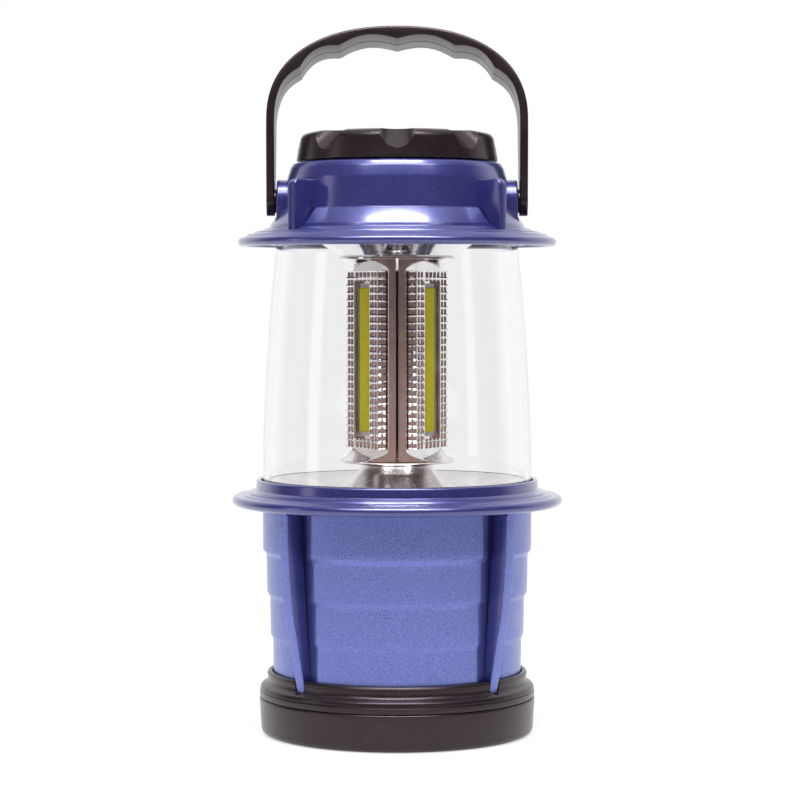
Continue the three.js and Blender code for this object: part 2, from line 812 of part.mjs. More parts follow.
function returnStrip() {
  const riser = box([36.6, 37.1], [-2.5, 2.5], [7.6, 72.3]);
  const foot = box([33.6, 37.1], [-2.5, 2.5], [7.6, 8.0]);
  const head = box([31.6, 37.1], [-2.5, 2.5], [71.9, 72.3]);
  return placed(join(riser, foot, head), RETURN_AZIMUTH);
}

function endContact() {
  const pad = placed(rod(6.0, 5.3, 5.7, 16), CELL_AZIMUTHS[2], CELL_CIRCLE);
  const arm = box([24, 34.4], [-2.2, 2.2], [5.3, 5.7]);
  const finger = box([33.9, 34.4], [-2.2, 2.2], [5.4, 7.3]);
  const link = slab([[17, -13], [20, -7], [8, -21], [6, -26]], 5.3, 5.7);
  return join(pad, link, placed(join(arm, finger), RETURN_AZIMUTH));
}

// ---- Driver and wiring -----------------------------------------------------------------------

function driverBoard() {
  const board = box([-14, 14], [14, 34], [79.2, 80.6]);
  const feet = [[-11, 17], [11, 17], [-11, 31], [11, 31]].map(([x, y]) => {
    return rod(1.6, DECK_TOP + GAP, 79.4).translate(x, y, 0);
  });
  const chip = box([-4, 4], [20, 26], [80.5, 82.2]);
  const coil = rod(4.0, 80.5, 83.4).translate(-8.5, 28, 0);
  const capacitor = rod(2.4, 80.5, 83.6).translate(8.5, 28, 0);
  return join(board, ...feet, chip, coil, capacitor);
}

function dimmerWire() {
  const [x, y] = DIMMER_WIRE;
  return [
    [x, y, 78.8],
    [x, y, 76.2],
    [x - 0.1, y - 0.5, 75.1],
    [2.8, 14, 74.8],
    [2.0, 6, 74.8],
    [1.9, 2.4, 74.9],
    [1.9, 1.0, 76],
    [1.9, 0.3, 78],
    [1.9, 0, 90],
    [1.9, 0, 178],
    [2.6, 0, 183],
    [3.4, 0, 186.7],
  ];
}

function negativeWire() {
  const [x, y] = NEGATIVE_WIRE;
  return [
    [x, y, 72.6],
    [x, y, 79],
    [9.5, -30, 81.4],
    [20, -16, 81.6],
    [24, 2, 81.6],
    [21, 16, 81.0],
    [14.4, 20, 79.9],
  ];
}

// ---- Build -----------------------------------------------------------------------------------

add('battery_cover', batteryCover(), 'black_plastic');
add('base_ring', baseRing(), 'black_plastic');
add('cover_seal', coverSeal(), 'seal');
add('lower_housing', lowerHousing(), 'blue_shell');
add('battery_sleeve', batterySleeve(), 'white_plastic');
add('flange_ring', flangeRing(), 'blue_gloss');
add('globe', globe(), 'clear_plastic');
add('globe_seal_lower', tube(47.0, 45.2, LEDGE_TOP + GAP, 84.1), 'seal');
add('globe_seal_upper', tube(41.8, 39.6, 175.1, 175.7), 'seal');
add('lower_reflector', lowerReflector(), 'chrome');
add('upper_reflector', upperReflector(), 'chrome');
add('led_core', ledCore(), 'chrome');
PANEL_AZIMUTHS.forEach((azimuth, i) => {
  add(`led_tray_${i + 1}`, placed(ledTray(), azimuth), 'chrome');
  add(`cob_strip_${i + 1}`, placed(cobStrip(), azimuth), 'cob_yellow');
});
add('crown_housing', crownHousing(), 'blue_gloss');
add('crown_deck', crownDeck(), 'white_plastic');
add('potentiometer', potentiometer(), 'control');
add('bushing_nut', bushingNut(), 'spring_steel');
add('dimmer_shaft', dimmerShaft(), 'spring_steel');
add('dimmer_knob', dimmerKnob(), 'black_plastic');
add('handle', handle(), 'black_plastic');

const crownScrew = screw(176.0, 181.3);
const deckScrew = screw(170.0, 178.8);
const flangeScrew = screwFromBelow(74.0, 1.7, 81.6);
const coreScrew = screwFromBelow(74.1, 1.6, 88);
VALLEY_AZIMUTHS.forEach((azimuth, i) => {
  add(`crown_screw_${i + 1}`, placed(crownScrew, azimuth, BOSS_CIRCLE), 'spring_steel');
  add(`deck_screw_${i + 1}`, placed(deckScrew, azimuth, CORE_CIRCLE), 'spring_steel');
  add(`flange_screw_${i + 1}`, placed(flangeScrew, azimuth, FLANGE_SCREW_CIRCLE), 'spring_steel');
  add(`core_screw_${i + 1}`, placed(coreScrew, azimuth, CORE_CIRCLE), 'spring_steel');
});

CELL_AZIMUTHS.forEach((azimuth, i) => {
  add(`battery_cell_${i + 1}`, placed(cell(i === 1), azimuth, CELL_CIRCLE), 'cell_wrap');
});
add('contact_disc', contactDisc(), 'white_plastic');
add('contact_bridge_lower', bridge(CELL_AZIMUTHS[0], CELL_AZIMUTHS[1], 5.3, 5.7), 'spring_steel');
add('contact_end', endContact(), 'spring_steel');
[0, 2].forEach((i) => {
  const spring = coilSpring(5.2, 3.0, 6.0, 7.7, 2.25);
  add(`contact_spring_${i + 1}`, placed(spring, CELL_AZIMUTHS[i], CELL_CIRCLE), 'spring_steel');
});
add('contact_plate', contactPlate(), 'white_plastic');
add('contact_bridge_upper', bridge(CELL_AZIMUTHS[1], CELL_AZIMUTHS[2], 71.9, 72.3), 'spring_steel');
const upperSpring = coilSpring(3.0, 5.2, 69.8, 71.6, 2.25);
add('contact_spring_2', placed(upperSpring, CELL_AZIMUTHS[1], CELL_CIRCLE), 'spring_steel');
const positivePad = join(rod(6.0, 71.9, 72.3, 16), rod(2.6, 69.9, 72.2));
add('contact_positive', placed(positivePad, CELL_AZIMUTHS[0], CELL_CIRCLE), 'spring_steel');
add('contact_return', returnStrip(), 'spring_steel');
add('driver_board', driverBoard(), 'board_green');
add('battery_wire_red', rod(WIRE_RADIUS, 72.6, 78.9, 8).translate(...POSITIVE_WIRE, 0), 'wire_red');
add('battery_wire_black', wire(negativeWire(), 28), 'wire_black');
add('dimmer_wire_red', wire(dimmerWire(), 48), 'wire_red');
add('dimmer_wire_black', wire(dimmerWire().map(mirrored), 48), 'wire_black');

export default lantern;
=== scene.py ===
import json
import math

import bmesh
import bpy
import numpy as np
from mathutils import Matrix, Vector


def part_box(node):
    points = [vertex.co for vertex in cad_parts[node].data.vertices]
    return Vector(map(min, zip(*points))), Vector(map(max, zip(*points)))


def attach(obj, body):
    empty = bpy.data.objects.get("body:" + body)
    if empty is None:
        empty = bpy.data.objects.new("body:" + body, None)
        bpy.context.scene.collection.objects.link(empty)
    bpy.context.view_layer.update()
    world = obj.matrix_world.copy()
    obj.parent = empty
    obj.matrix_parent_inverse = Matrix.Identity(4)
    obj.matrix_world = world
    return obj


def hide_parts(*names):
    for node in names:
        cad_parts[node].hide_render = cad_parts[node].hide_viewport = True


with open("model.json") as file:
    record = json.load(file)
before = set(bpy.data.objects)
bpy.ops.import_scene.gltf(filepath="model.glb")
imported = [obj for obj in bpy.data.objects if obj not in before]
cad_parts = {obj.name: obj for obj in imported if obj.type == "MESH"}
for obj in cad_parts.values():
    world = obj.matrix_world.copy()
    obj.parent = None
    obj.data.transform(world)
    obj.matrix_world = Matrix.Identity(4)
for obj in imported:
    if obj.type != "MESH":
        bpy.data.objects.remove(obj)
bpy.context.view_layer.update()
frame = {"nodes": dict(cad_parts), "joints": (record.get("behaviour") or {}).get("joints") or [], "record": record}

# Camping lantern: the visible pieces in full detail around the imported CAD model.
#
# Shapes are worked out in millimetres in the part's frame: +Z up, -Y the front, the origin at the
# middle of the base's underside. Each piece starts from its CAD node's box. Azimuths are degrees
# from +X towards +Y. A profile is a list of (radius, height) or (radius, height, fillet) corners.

MM = 0.001

# ---- Camera ----

CAMERA_PLACE = Vector((0.0, -935.0, 155.0)) * MM
CAMERA_AIM = Vector((1.0, 0.0, 116.5)) * MM
CAMERA_LENS = 120.2


def make_camera():
    data = bpy.data.cameras.new("camera")
    data.lens = CAMERA_LENS
    data.sensor_width = 36.0
    data.clip_end = 50.0
    camera = bpy.data.objects.new("camera", data)
    camera.location = CAMERA_PLACE
    camera.rotation_euler = (CAMERA_AIM - CAMERA_PLACE).to_track_quat("-Z", "Y").to_euler()
    bpy.context.scene.collection.objects.link(camera)
    bpy.context.scene.camera = camera


make_camera()

# ---- Driving dimensions ----

SIDES = 192  # round bodies
SMOOTH_ANGLE = math.radians(31)
WELD = 0.002 * MM
FIN_AZIMUTHS = (43, 137, 223, 317)
SECTORS = ((270, 47), (90, 47), (0, 43), (180, 43))  # middles between the fins, and half widths
PANEL_AZIMUTHS = (-30, 210, 90)  # the LED post's three faces


def span(node):
    """A round CAD node's outer radius, bottom and top, in millimetres."""
    low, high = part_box(node)
    return high.x / MM, low.z / MM, high.z / MM


# ---- Shapes ----

FILLET_SHARE = 0.48  # of a corner's shorter side that its fillet may take up
NEARLY_STRAIGHT = math.radians(89)  # half the angle at a corner too flat to round


def fillet(corner, back, ahead, size, steps):
    """Points round one corner. Back and ahead lead from it to its neighbours."""
    reach = FILLET_SHARE * min(np.linalg.norm(back), np.linalg.norm(ahead))
    back = back / np.linalg.norm(back)
    ahead = ahead / np.linalg.norm(ahead)
    half = math.acos(np.clip(back @ ahead, -1, 1)) / 2
    if half > NEARLY_STRAIGHT:
        return [corner]
    size = min(size, reach * math.tan(half))
    start = corner + back * size / math.tan(half)
    end = corner + ahead * size / math.tan(half)
    middle = corner + (back + ahead) / np.linalg.norm(back + ahead) * size / math.sin(half)
    turn = math.pi - 2 * half
    count = max(2, round(steps * turn / (math.pi / 2)))
    out = []
    for k in range(count + 1):
        share = k / count
        a = math.sin((1 - share) * turn) / math.sin(turn)
        b = math.sin(share * turn) / math.sin(turn)
        out.append(middle + a * (start - middle) + b * (end - middle))
    return out


def rounded(corners, closed=False, steps=5):
    """The (a, b) points of a line whose corners may give a fillet radius as a third value."""
    out = []
    count = len(corners)
    for i, corner in enumerate(corners):
        here = np.array(corner[:2], float)
        if len(corner) < 3 or not (closed or 0 < i < count - 1):
            out.append(here)
            continue
        back = np.array(corners[i - 1][:2], float) - here
        ahead = np.array(corners[(i + 1) % count][:2], float) - here
        out += fillet(here, back, ahead, corner[2], steps)
    return out


def arc(middle, size, first, last, steps):
    """Points along an arc, both ends included. Angles in degrees."""
    angles = np.radians(np.linspace(first, last, steps + 1))
    return [(middle[0] + size * math.cos(a), middle[1] + size * math.sin(a)) for a in angles]


def curve_through(points, steps=6):
    """A smooth line through the points."""
    padded = [points[0], *points, points[-1]]
    out = []
    for four in zip(padded, padded[1:], padded[2:], padded[3:]):
        a, b, c, d = (np.array(point, float) for point in four)
        for k in range(steps):
            t = k / steps
            bend = (2 * a - 5 * b + 4 * c - d) + t * (3 * (b - c) + d - a)
            out.append(b + 0.5 * t * ((c - a) + t * bend))
    return [*out, np.array(points[-1], float)]


def ring_faces(count, size, closed):
    """Faces that join a number of rings of one size, each ring closed on itself."""
    faces = []
    for i in range(count if closed else count - 1):
        low, high = i * size, (i + 1) % count * size
        for j in range(size):
            k = (j + 1) % size
            faces.append((low + j, low + k, high + k, high + j))
    return faces


def ring_body(rings, closed=True):
    """(points, faces) of a body made of rings. An open one is capped at both ends."""
    rings = np.array(rings, float)
    count, size = rings.shape[:2]
    faces = ring_faces(count, size, closed)
    if not closed:
        faces.append(tuple(range(size))[::-1])
        faces.append(tuple((count - 1) * size + j for j in range(size)))
    return rings.reshape(-1, 3), faces


def revolved(profile, sides=SIDES):
    """A round body. Its profile runs from axis to axis or closes on itself."""
    angles = np.linspace(0, 2 * math.pi, sides, endpoint=False)
    turn = np.stack([np.cos(angles), np.sin(angles)], axis=1)
    rings = [np.column_stack([turn * radius, np.full(sides, height)]) for radius, height in profile]
    return ring_body(rings, closed=profile[0][0] > 0)


def plate(outline, thickness, bevel, steps=3):
    """A flat body in the XZ plane with rounded edges, centred on y = 0."""
    line = np.array(outline, float)
    along = np.roll(line, -1, axis=0) - np.roll(line, 1, axis=0)
    along /= np.linalg.norm(along, axis=1, keepdims=True)
    area = np.sum(line[:, 0] * np.roll(line[:, 1], -1) - np.roll(line[:, 0], -1) * line[:, 1])
    inward = np.column_stack([-along[:, 1], along[:, 0]]) * np.sign(area)
    rings = []
    for way in (-1, 1):
        for k in range(steps + 1) if way < 0 else range(steps, -1, -1):
            angle = math.pi / 2 * k / steps
            inset = line + inward * bevel * (1 - math.sin(angle))
            depth = way * (thickness / 2 - bevel * (1 - math.cos(angle)))
            rings.append(np.column_stack([inset[:, 0], np.full(len(line), depth), inset[:, 1]]))
    return ring_body(rings, closed=False)


def turned(body, azimuth, place=(0, 0, 0)):
    """A body moved to a place and then turned about Z."""
    points, faces = body
    angle = math.radians(azimuth)
    c, s = math.cos(angle), math.sin(angle)
    x, y, z = (np.asarray(points, float) + place).T
    return np.column_stack([c * x - s * y, s * x + c * y, z]), faces


def around(body, azimuths):
    """Copies of a body at several azimuths."""
    return [turned(body, azimuth) for azimuth in azimuths]


def together(bodies):
    """Several bodies as one."""
    points, faces, base = [], [], 0
    for body_points, body_faces in bodies:
        points.append(np.asarray(body_points, float))
        faces += [tuple(i + base for i in face) for face in body_faces]
        base += len(body_points)
    return np.concatenate(points), faces


def finish_mesh(mesh):
    """Welds, turns the faces outwards and shades them smooth up to the sharp edges."""
    work = bmesh.new()
    work.from_mesh(mesh)
    bmesh.ops.remove_doubles(work, verts=work.verts, dist=WELD)
    bmesh.ops.dissolve_degenerate(work, edges=work.edges, dist=WELD)
    bmesh.ops.recalc_face_normals(work, faces=work.faces)
    work.to_mesh(mesh)
    work.free()
    mesh.shade_smooth()
    mesh.set_sharp_from_angle(angle=SMOOTH_ANGLE)


def make_object(name, body):
    """A scene object of a body given in millimetres."""
    points, faces = body
    mesh = bpy.data.meshes.new(name)
    mesh.from_pydata((np.asarray(points) * MM).tolist(), [], faces)
    piece = bpy.data.objects.new(name, mesh)
    bpy.context.scene.collection.objects.link(piece)
    finish_mesh(mesh)
    return piece


def carved(piece, cutters):
    """Cuts bodies out of a piece."""
    tool = make_object("cutter", together(cutters))
    cut = piece.modifiers.new("cut", "BOOLEAN")
    cut.object = tool
    cut.operation = "DIFFERENCE"
    cut.solver = "EXACT"
    bpy.context.view_layer.update()
    graph = bpy.context.evaluated_depsgraph_get()
    mesh = bpy.data.meshes.new_from_object(piece.evaluated_get(graph))
    piece.modifiers.clear()
    piece.data = mesh
    bpy.data.objects.remove(tool)
    finish_mesh(mesh)
    return piece


def show(piece, body, nodes, slot, look=None):
    """Gives a finished piece its material, its body and the CAD nodes it stands for."""
    piece.data.materials.clear()
    piece.data.materials.append(look or LOOKS[slot])
    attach(piece, body)
    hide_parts(*nodes)


# ---- Materials ----


class Nodes:
    """The nodes of one procedural material, with short calls for the ones used here."""

    def __init__(self, name):
        self.material = bpy.data.materials.new(name)
        self.material.use_nodes = True
        self.tree = self.material.node_tree
        self.shader = self.tree.nodes["Principled BSDF"]
        self.place = self.tree.nodes.new("ShaderNodeTexCoord").outputs["Object"]

    def link(self, source, target):
        self.tree.links.new(source, target)

    def stretched(self, x, y, z):
        node = self.tree.nodes.new("ShaderNodeMapping")
        node.inputs["Scale"].default_value = (x, y, z)
        self.link(self.place, node.inputs["Vector"])
        return node.outputs["Vector"]

    def noise(self, size, detail=2.0, vector=None):
        """Noise whose grain is about size millimetres."""
        node = self.tree.nodes.new("ShaderNodeTexNoise")
        node.inputs["Scale"].default_value = 1 / (size * MM)
        node.inputs["Detail"].default_value = detail
        self.link(vector or self.place, node.inputs["Vector"])
        return node.outputs["Fac"]

    def flakes(self, size):
        """Cells of about size millimetres, each of one random level."""
        node = self.tree.nodes.new("ShaderNodeTexVoronoi")
        node.inputs["Scale"].default_value = 1 / (size * MM)
        self.link(self.place, node.inputs["Vector"])
        return node.outputs["Color"]

    def ramp(self, value, low, high, first, last):
        """Maps a value between two levels to two colours or two numbers."""
        if isinstance(first, tuple):
            node = self.tree.nodes.new("ShaderNodeValToRGB")
            node.color_ramp.elements[0].position = low
            node.color_ramp.elements[1].position = high
            node.color_ramp.elements[0].color = (*first, 1)
            node.color_ramp.elements[1].color = (*last, 1)
            self.link(value, node.inputs["Fac"])
            return node.outputs["Color"]
        node = self.tree.nodes.new("ShaderNodeMapRange")
        keys = ("From Min", "From Max", "To Min", "To Max")
        for key, number in zip(keys, (low, high, first, last)):
            node.inputs[key].default_value = number
        self.link(value, node.inputs["Value"])
        return node.outputs["Result"]

    def mixed(self, share, first, last, mode="MIX"):
        node = self.tree.nodes.new("ShaderNodeMix")
        node.data_type = "RGBA"
        node.blend_type = mode
        for socket, value in zip((node.inputs["Factor"], node.inputs["A"], node.inputs["B"]),
                                 (share, first, last)):
            if hasattr(value, "is_output"):
                self.link(value, socket)
            else:
                socket.default_value = value
        return node.outputs["Result"]

    def bump(self, height, strength, depth):
        node = self.tree.nodes.new("ShaderNodeBump")
        node.inputs["Strength"].default_value = strength
        node.inputs["Distance"].default_value = depth * MM
        self.link(height, node.inputs["Height"])
        self.link(node.outputs["Normal"], self.shader.inputs["Normal"])

    def colour(self, source):
        self.link(source, self.shader.inputs["Base Color"])

    def roughness(self, source):
        self.link(source, self.shader.inputs["Roughness"])

    def set(self, **values):
        for key, value in values.items():
            self.shader.inputs[key.replace("_", " ")].default_value = value


def moulded_plastic(name, colour, rough, grain=0.35, relief=0.02, variation=0.12):
    """Moulded plastic: a faint mottle, a fine grain and slightly uneven gloss."""
    n = Nodes(name)
    dark = tuple(c * (1 - variation) for c in colour)
    light = tuple(min(1.0, c * (1 + variation) + 0.002) for c in colour)
    n.colour(n.ramp(n.noise(6.0, 4), 0.3, 0.7, dark, light))
    n.roughness(n.ramp(n.noise(9.0, 3), 0.3, 0.7, rough * 0.88, rough * 1.12))
    n.bump(n.noise(grain, 3), 0.5, relief)
    return n


def black_plastic():
    """Black plastic whose reflections are faintly pink."""
    n = moulded_plastic("black_plastic", (0.0125, 0.0085, 0.0100), 0.27, grain=0.5, relief=0.015)
    n.set(IOR=1.48, Specular_Tint=(1.0, 0.82, 0.90, 1.0))
    return n.material


def blue_paint(name, deep, bright, glint, rough, flake, metal, coat, relief):
    """Metallic paint: a mottled ground with scattered glints, under a clear coat."""
    n = Nodes(name)
    ground = n.ramp(n.noise(flake, 3), 0.36, 0.66, deep, bright)
    sparkle = n.ramp(n.flakes(flake * 0.8), 0.86, 0.97, (0, 0, 0), glint)
    n.colour(n.mixed(1.0, ground, sparkle, "ADD"))
    n.roughness(n.ramp(n.noise(7.0, 3), 0.3, 0.7, rough * 0.9, rough * 1.1))
    n.bump(n.noise(flake, 2), 0.6, relief)
    n.set(Metallic=metal, Coat_Weight=coat, Coat_Roughness=0.17, Coat_IOR=1.6)
    return n.material


def blue_shell():
    """The sand-textured blue of the panels."""
    return blue_paint("blue_shell", deep=(0.102, 0.130, 0.385), bright=(0.190, 0.236, 0.65),
                      glint=(0.10, 0.11, 0.16), rough=0.40, flake=0.36, metal=0.62, coat=0.35,
                      relief=0.02)


def blue_gloss():
    """The smooth, deeper blue of the crown, the flange ring and the ribs."""
    return blue_paint("blue_gloss", deep=(0.030, 0.033, 0.175), bright=(0.048, 0.055, 0.260),
                      glint=(0.05, 0.05, 0.07), rough=0.33, flake=0.40, metal=0.45, coat=1.0,
                      relief=0.004)


def clear_globe():
    """Clear moulded plastic: faint upright flow lines in its surface."""
    n = Nodes("clear_globe")
    flow = n.noise(5.0, 2, n.stretched(1, 1, 0.08))
    n.colour(n.ramp(flow, 0.2, 0.8, (0.965, 0.968, 0.97), (0.98, 0.983, 0.985)))
    n.roughness(n.ramp(n.noise(14.0, 2), 0.3, 0.7, 0.0, 0.015))
    n.bump(flow, 0.15, 0.02)
    n.set(Transmission_Weight=1.0, IOR=1.46)
    return n.material


def metallised(name, rough):
    """Metallised plastic, with the faint waves of the moulding under it."""
    n = Nodes(name)
    n.colour(n.ramp(n.noise(8.0, 3), 0.3, 0.7, (0.80, 0.775, 0.78), (0.90, 0.88, 0.885)))
    n.roughness(n.ramp(n.noise(3.0, 3), 0.3, 0.7, rough * 0.7, rough * 1.3))
    n.bump(n.noise(2.2, 2), 0.35, 0.01)
    n.set(Metallic=1.0)
    return n.material


def phosphor():
    """The light strip's yellow phosphor gel, slightly grainy."""
    n = Nodes("cob_phosphor")
    n.colour(n.ramp(n.noise(0.5, 4), 0.3, 0.7, (0.80, 0.71, 0.020), (0.95, 0.85, 0.035)))
    n.roughness(n.ramp(n.noise(1.5, 3), 0.3, 0.7, 0.5, 0.7))
    n.set(IOR=1.25)
    n.bump(n.noise(0.4, 3), 0.4, 0.03)
    return n.material


def steel():
    """Bright steel with upright brush marks."""
    n = Nodes("spring_steel")
    brushed = n.noise(0.6, 3, n.stretched(1, 1, 0.06))
    n.colour(n.ramp(brushed, 0.3, 0.7, (0.52, 0.53, 0.55), (0.66, 0.67, 0.69)))
    n.roughness(n.ramp(brushed, 0.3, 0.7, 0.22, 0.36))
    n.bump(brushed, 0.3, 0.01)
    n.set(Metallic=1.0)
    return n.material


def cell_wrap():
    """A cell's printed green foil."""
    n = Nodes("cell_wrap")
    n.colour(n.ramp(n.noise(5.0, 3), 0.3, 0.7, (0.04, 0.14, 0.06), (0.06, 0.19, 0.085)))
    n.roughness(n.ramp(n.noise(4.0, 2), 0.3, 0.7, 0.28, 0.4))
    n.bump(n.noise(1.2, 2), 0.3, 0.02)
    n.set(Metallic=0.4)
    return n.material


def circuit_board():
    """Green board with a pattern of darker and lighter patches."""
    n = Nodes("board")
    n.colour(n.ramp(n.flakes(1.4), 0.45, 0.55, (0.012, 0.10, 0.035), (0.03, 0.17, 0.06)))
    n.roughness(n.ramp(n.noise(2.0, 2), 0.3, 0.7, 0.35, 0.5))
    n.bump(n.flakes(1.4), 0.3, 0.03)
    return n.material


def make_materials():
    """One material for each slot of the record."""
    return {
        "black_plastic": black_plastic(),
        "blue_shell": blue_shell(),
        "blue_gloss": blue_gloss(),
        "globe_clear": clear_globe(),
        "reflector_chrome": metallised("reflector_chrome", 0.08),
        "cob_yellow": phosphor(),
        "white_plastic": moulded_plastic("white_plastic", (0.66, 0.66, 0.60), 0.45).material,
        "seal_rubber": moulded_plastic("seal_rubber", (0.018, 0.018, 0.019), 0.75, 0.25,
                                       0.05).material,
        "bright_steel": steel(),
        "board": circuit_board(),
        "control": moulded_plastic("control", (0.07, 0.075, 0.085), 0.4).material,
        "wire_red": moulded_plastic("wire_red", (0.42, 0.016, 0.012), 0.42).material,
        "wire_black": moulded_plastic("wire_black", (0.012, 0.012, 0.013), 0.42).material,
        "cell_wrap": cell_wrap(),
    }


LOOKS = make_materials()
SATIN_CHROME = metallised("satin_chrome", 0.22)


def dress_cad_nodes():
    """Every CAD node carries the material of its slot in the record."""
    for part in frame["record"]["subparts"]:
        mesh = frame["nodes"][part["node"]].data
        mesh.materials.clear()
        mesh.materials.append(LOOKS[part["material_slot"]])


# ---- Battery cover and base ring ----

THREAD_LEAD = 12.0
THREAD_STARTS = (0, 120, 240)
SKIRT_RADIUS = 42.4


def thread_ridge(inner, outer, azimuth, sweep, height):
    """A rounded thread bar bent round the axis, climbing with the lead."""
    width = 1.5
    section = rounded([(inner, -width / 2), (outer, -width / 2, 0.4), (outer, width / 2, 0.4),
                       (inner, width / 2)])
    rings = []
    for along in np.linspace(0, sweep, round(sweep / 2.5)):
        angle = math.radians(azimuth + along)
        climb = height + THREAD_LEAD * along / 360
        rings.append([(r * math.cos(angle), r * math.sin(angle), z + climb) for r, z in section])
    return ring_body(rings, closed=False)


def battery_cover():
    radius, bottom, top = span("battery_cover")
    bore, floor = radius - 3.1, bottom + 2.5
    shell = revolved(rounded([
        (0, bottom + 0.8),
        (radius - 18.3, bottom + 0.8, 0.4),
        (radius - 17.4, bottom, 0.4),
        (radius - 0.75, bottom, 2.2),
        (radius, top - 0.35, 2.0),
        (radius - 0.3, top, 0.2),
        (bore + 0.2, top, 0.3),
        (bore, top - 0.6, 0.3),
        (bore, floor, 0.8),
        (0, floor),
    ]))
    ridges = [thread_ridge(bore - 2.2, bore + 0.4, a, 100, bottom + 7.4) for a in THREAD_STARTS]
    piece = make_object("cover_shell", together([shell, *ridges]))
    show(piece, "battery_cover", ["battery_cover"], "black_plastic")


def base_ring():
    radius, bottom, top = span("base_ring")
    ledge = bottom + 8.6
    shell = revolved(rounded([
        (SKIRT_RADIUS - 2.6, bottom),
        (SKIRT_RADIUS, bottom, 0.5),
        (SKIRT_RADIUS, ledge),
        (radius - 0.1, ledge, 0.25),
        (radius, ledge + 0.5, 0.3),
        (radius, ledge + 2.0, 0.3),
        (radius - 0.45, ledge + 2.25, 0.1),
        (radius - 0.05, ledge + 2.6, 0.4),
        (radius - 0.5, ledge + 3.9, 1.0),
        (radius - 2.4, ledge + 4.9, 1.4),
        (radius - 2.8, ledge + 5.7, 0.8),
        (radius - 2.9, ledge + 7.2, 0.3),
        (radius - 2.5, top - 1.0, 0.5),
        (radius - 3.1, top, 0.7),
        (radius - 4.4, top, 0.4),
        (radius - 4.5, ledge + 4.9),
        (SKIRT_RADIUS - 2.6, ledge + 4.9),
    ], closed=True, steps=6))
    ridges = [thread_ridge(SKIRT_RADIUS - 0.4, SKIRT_RADIUS + 1.9, a, 110, bottom + 0.9)
              for a in THREAD_STARTS]
    slot = slot_cutter(radius, ledge, top)
    piece = carved(make_object("ring_moulding", shell), around(slot, FIN_AZIMUTHS))
    threads = make_object("ring_thread", together(ridges))
    show(piece, "lantern_body", ["base_ring"], "black_plastic")
    show(threads, "lantern_body", ["base_ring"], "black_plastic")


def slot_cutter(radius, ledge, top):
    """The slot that takes a rib's tip, round at its bottom."""
    half, reach = 2.4, 7.0
    outline = [(half, top + 2), *arc((0, ledge + 4.4 + half), half, 0, -180, 12), (-half, top + 2)]
    return turned(plate(outline, reach, 0.01, 1), 90, (0, -(radius - 1.7), 0))


# ---- Base housing ----

BAND_STEPS = (34.8, 49.5, 64.4)
BAND_RADII = ((43.4, 43.6), (44.4, 44.6), (45.6, 45.8), (47.0, 47.0))
CHANNEL_DEPTH = 1.5
CHANNEL_INNER = 4.8  # degrees from a rib's middle to a panel's foot
CHANNEL_OUTER = 8.9  # and to its upper edge
HOUSING_WALL = 2.0
HOUSING_BOTTOM = 18.3
DECK_BORE = 3.6
DECK_RADIUS = 44.5
DECK_LOW = 76.0
DECK_HIGH = 78.0
RIB_THICKNESS = 3.9
RIB_BEVEL = 0.5
RIB_SKIN = 0.02  # how far the textured strip stands off its rib
RIB_SKIN_DEPTH = 1.1


def band_profile(bottom, top):
    """The panels' line from bottom to top: each band meets the next one's edge in a slope that
    faces down."""
    corners = [(BAND_RADII[0][0], bottom)]
    for i, step in enumerate(BAND_STEPS):
        below, above = BAND_RADII[i][1], BAND_RADII[i + 1][0]
        corners += [(below, step - 1.6, 0.7), (above, step + 0.15, 0.1)]
    corners.append((BAND_RADII[-1][1], top))
    return rounded(corners, steps=8)


def resampled(line, spacing):
    """A line with extra points so that none of its stretches is longer than the spacing."""
    out = [line[0]]
    for start, end in zip(line, line[1:]):
        count = max(1, math.ceil(np.linalg.norm(np.array(end) - start) / spacing))
        out += [np.array(start) + (np.array(end) - start) * k / count for k in range(1, count + 1)]
    return out


def panel(line, gap):
    """One raised panel between two ribs: banded outside, sloping down to the shell at its sides."""
    foot, edge = gap - CHANNEL_INNER, gap - CHANNEL_OUTER
    slope = np.linspace(0, 1, 9)[:-1]
    flank = foot + (edge - foot) * slope
    away = np.concatenate([flank, np.linspace(edge, -edge, 81), -flank[::-1]])
    drop = np.clip((np.abs(away) - edge) / (foot - edge), 0, 1) ** 1.3 * CHANNEL_DEPTH
    angles = np.radians(away)
    inner = np.radians(np.linspace(-foot, foot, 25))
    rings = []
    for r, z in line:
        front = [((r - d) * math.cos(a), (r - d) * math.sin(a), z) for a, d in zip(angles, drop)]
        deep = r - CHANNEL_DEPTH - 0.6
        rings.append([*front, *[(deep * math.cos(a), deep * math.sin(a), z) for a in inner]])
    return ring_body(rings, closed=False)


def rib_front(top):
    """A rib's tusk-shaped outer edge, from its tip up."""
    return curve_through([
        (44.9, 17.9), (45.4, 20.4), (46.8, 26.8), (48.5, 35.5), (50.3, 44.0),
        (51.4, 52.7), (52.2, 62.0), (52.7, 72.0), (52.9, top),
    ])


def rib_outline(top):
    """A rib from the side, its tip below and its inner edge inside the shell."""
    return [(41.6, 18.4), (44.2, 17.5), *rib_front(top), (46.0, top), (43.4, 40.0)]


def rib_edge_outline(top):
    """The textured strip along a rib's outer edge."""
    front = [(r + RIB_SKIN, z) for r, z in rib_front(top)]
    return [*front, *[(r - RIB_SKIN_DEPTH, z + 0.2) for r, z in front[-2::-1]]]


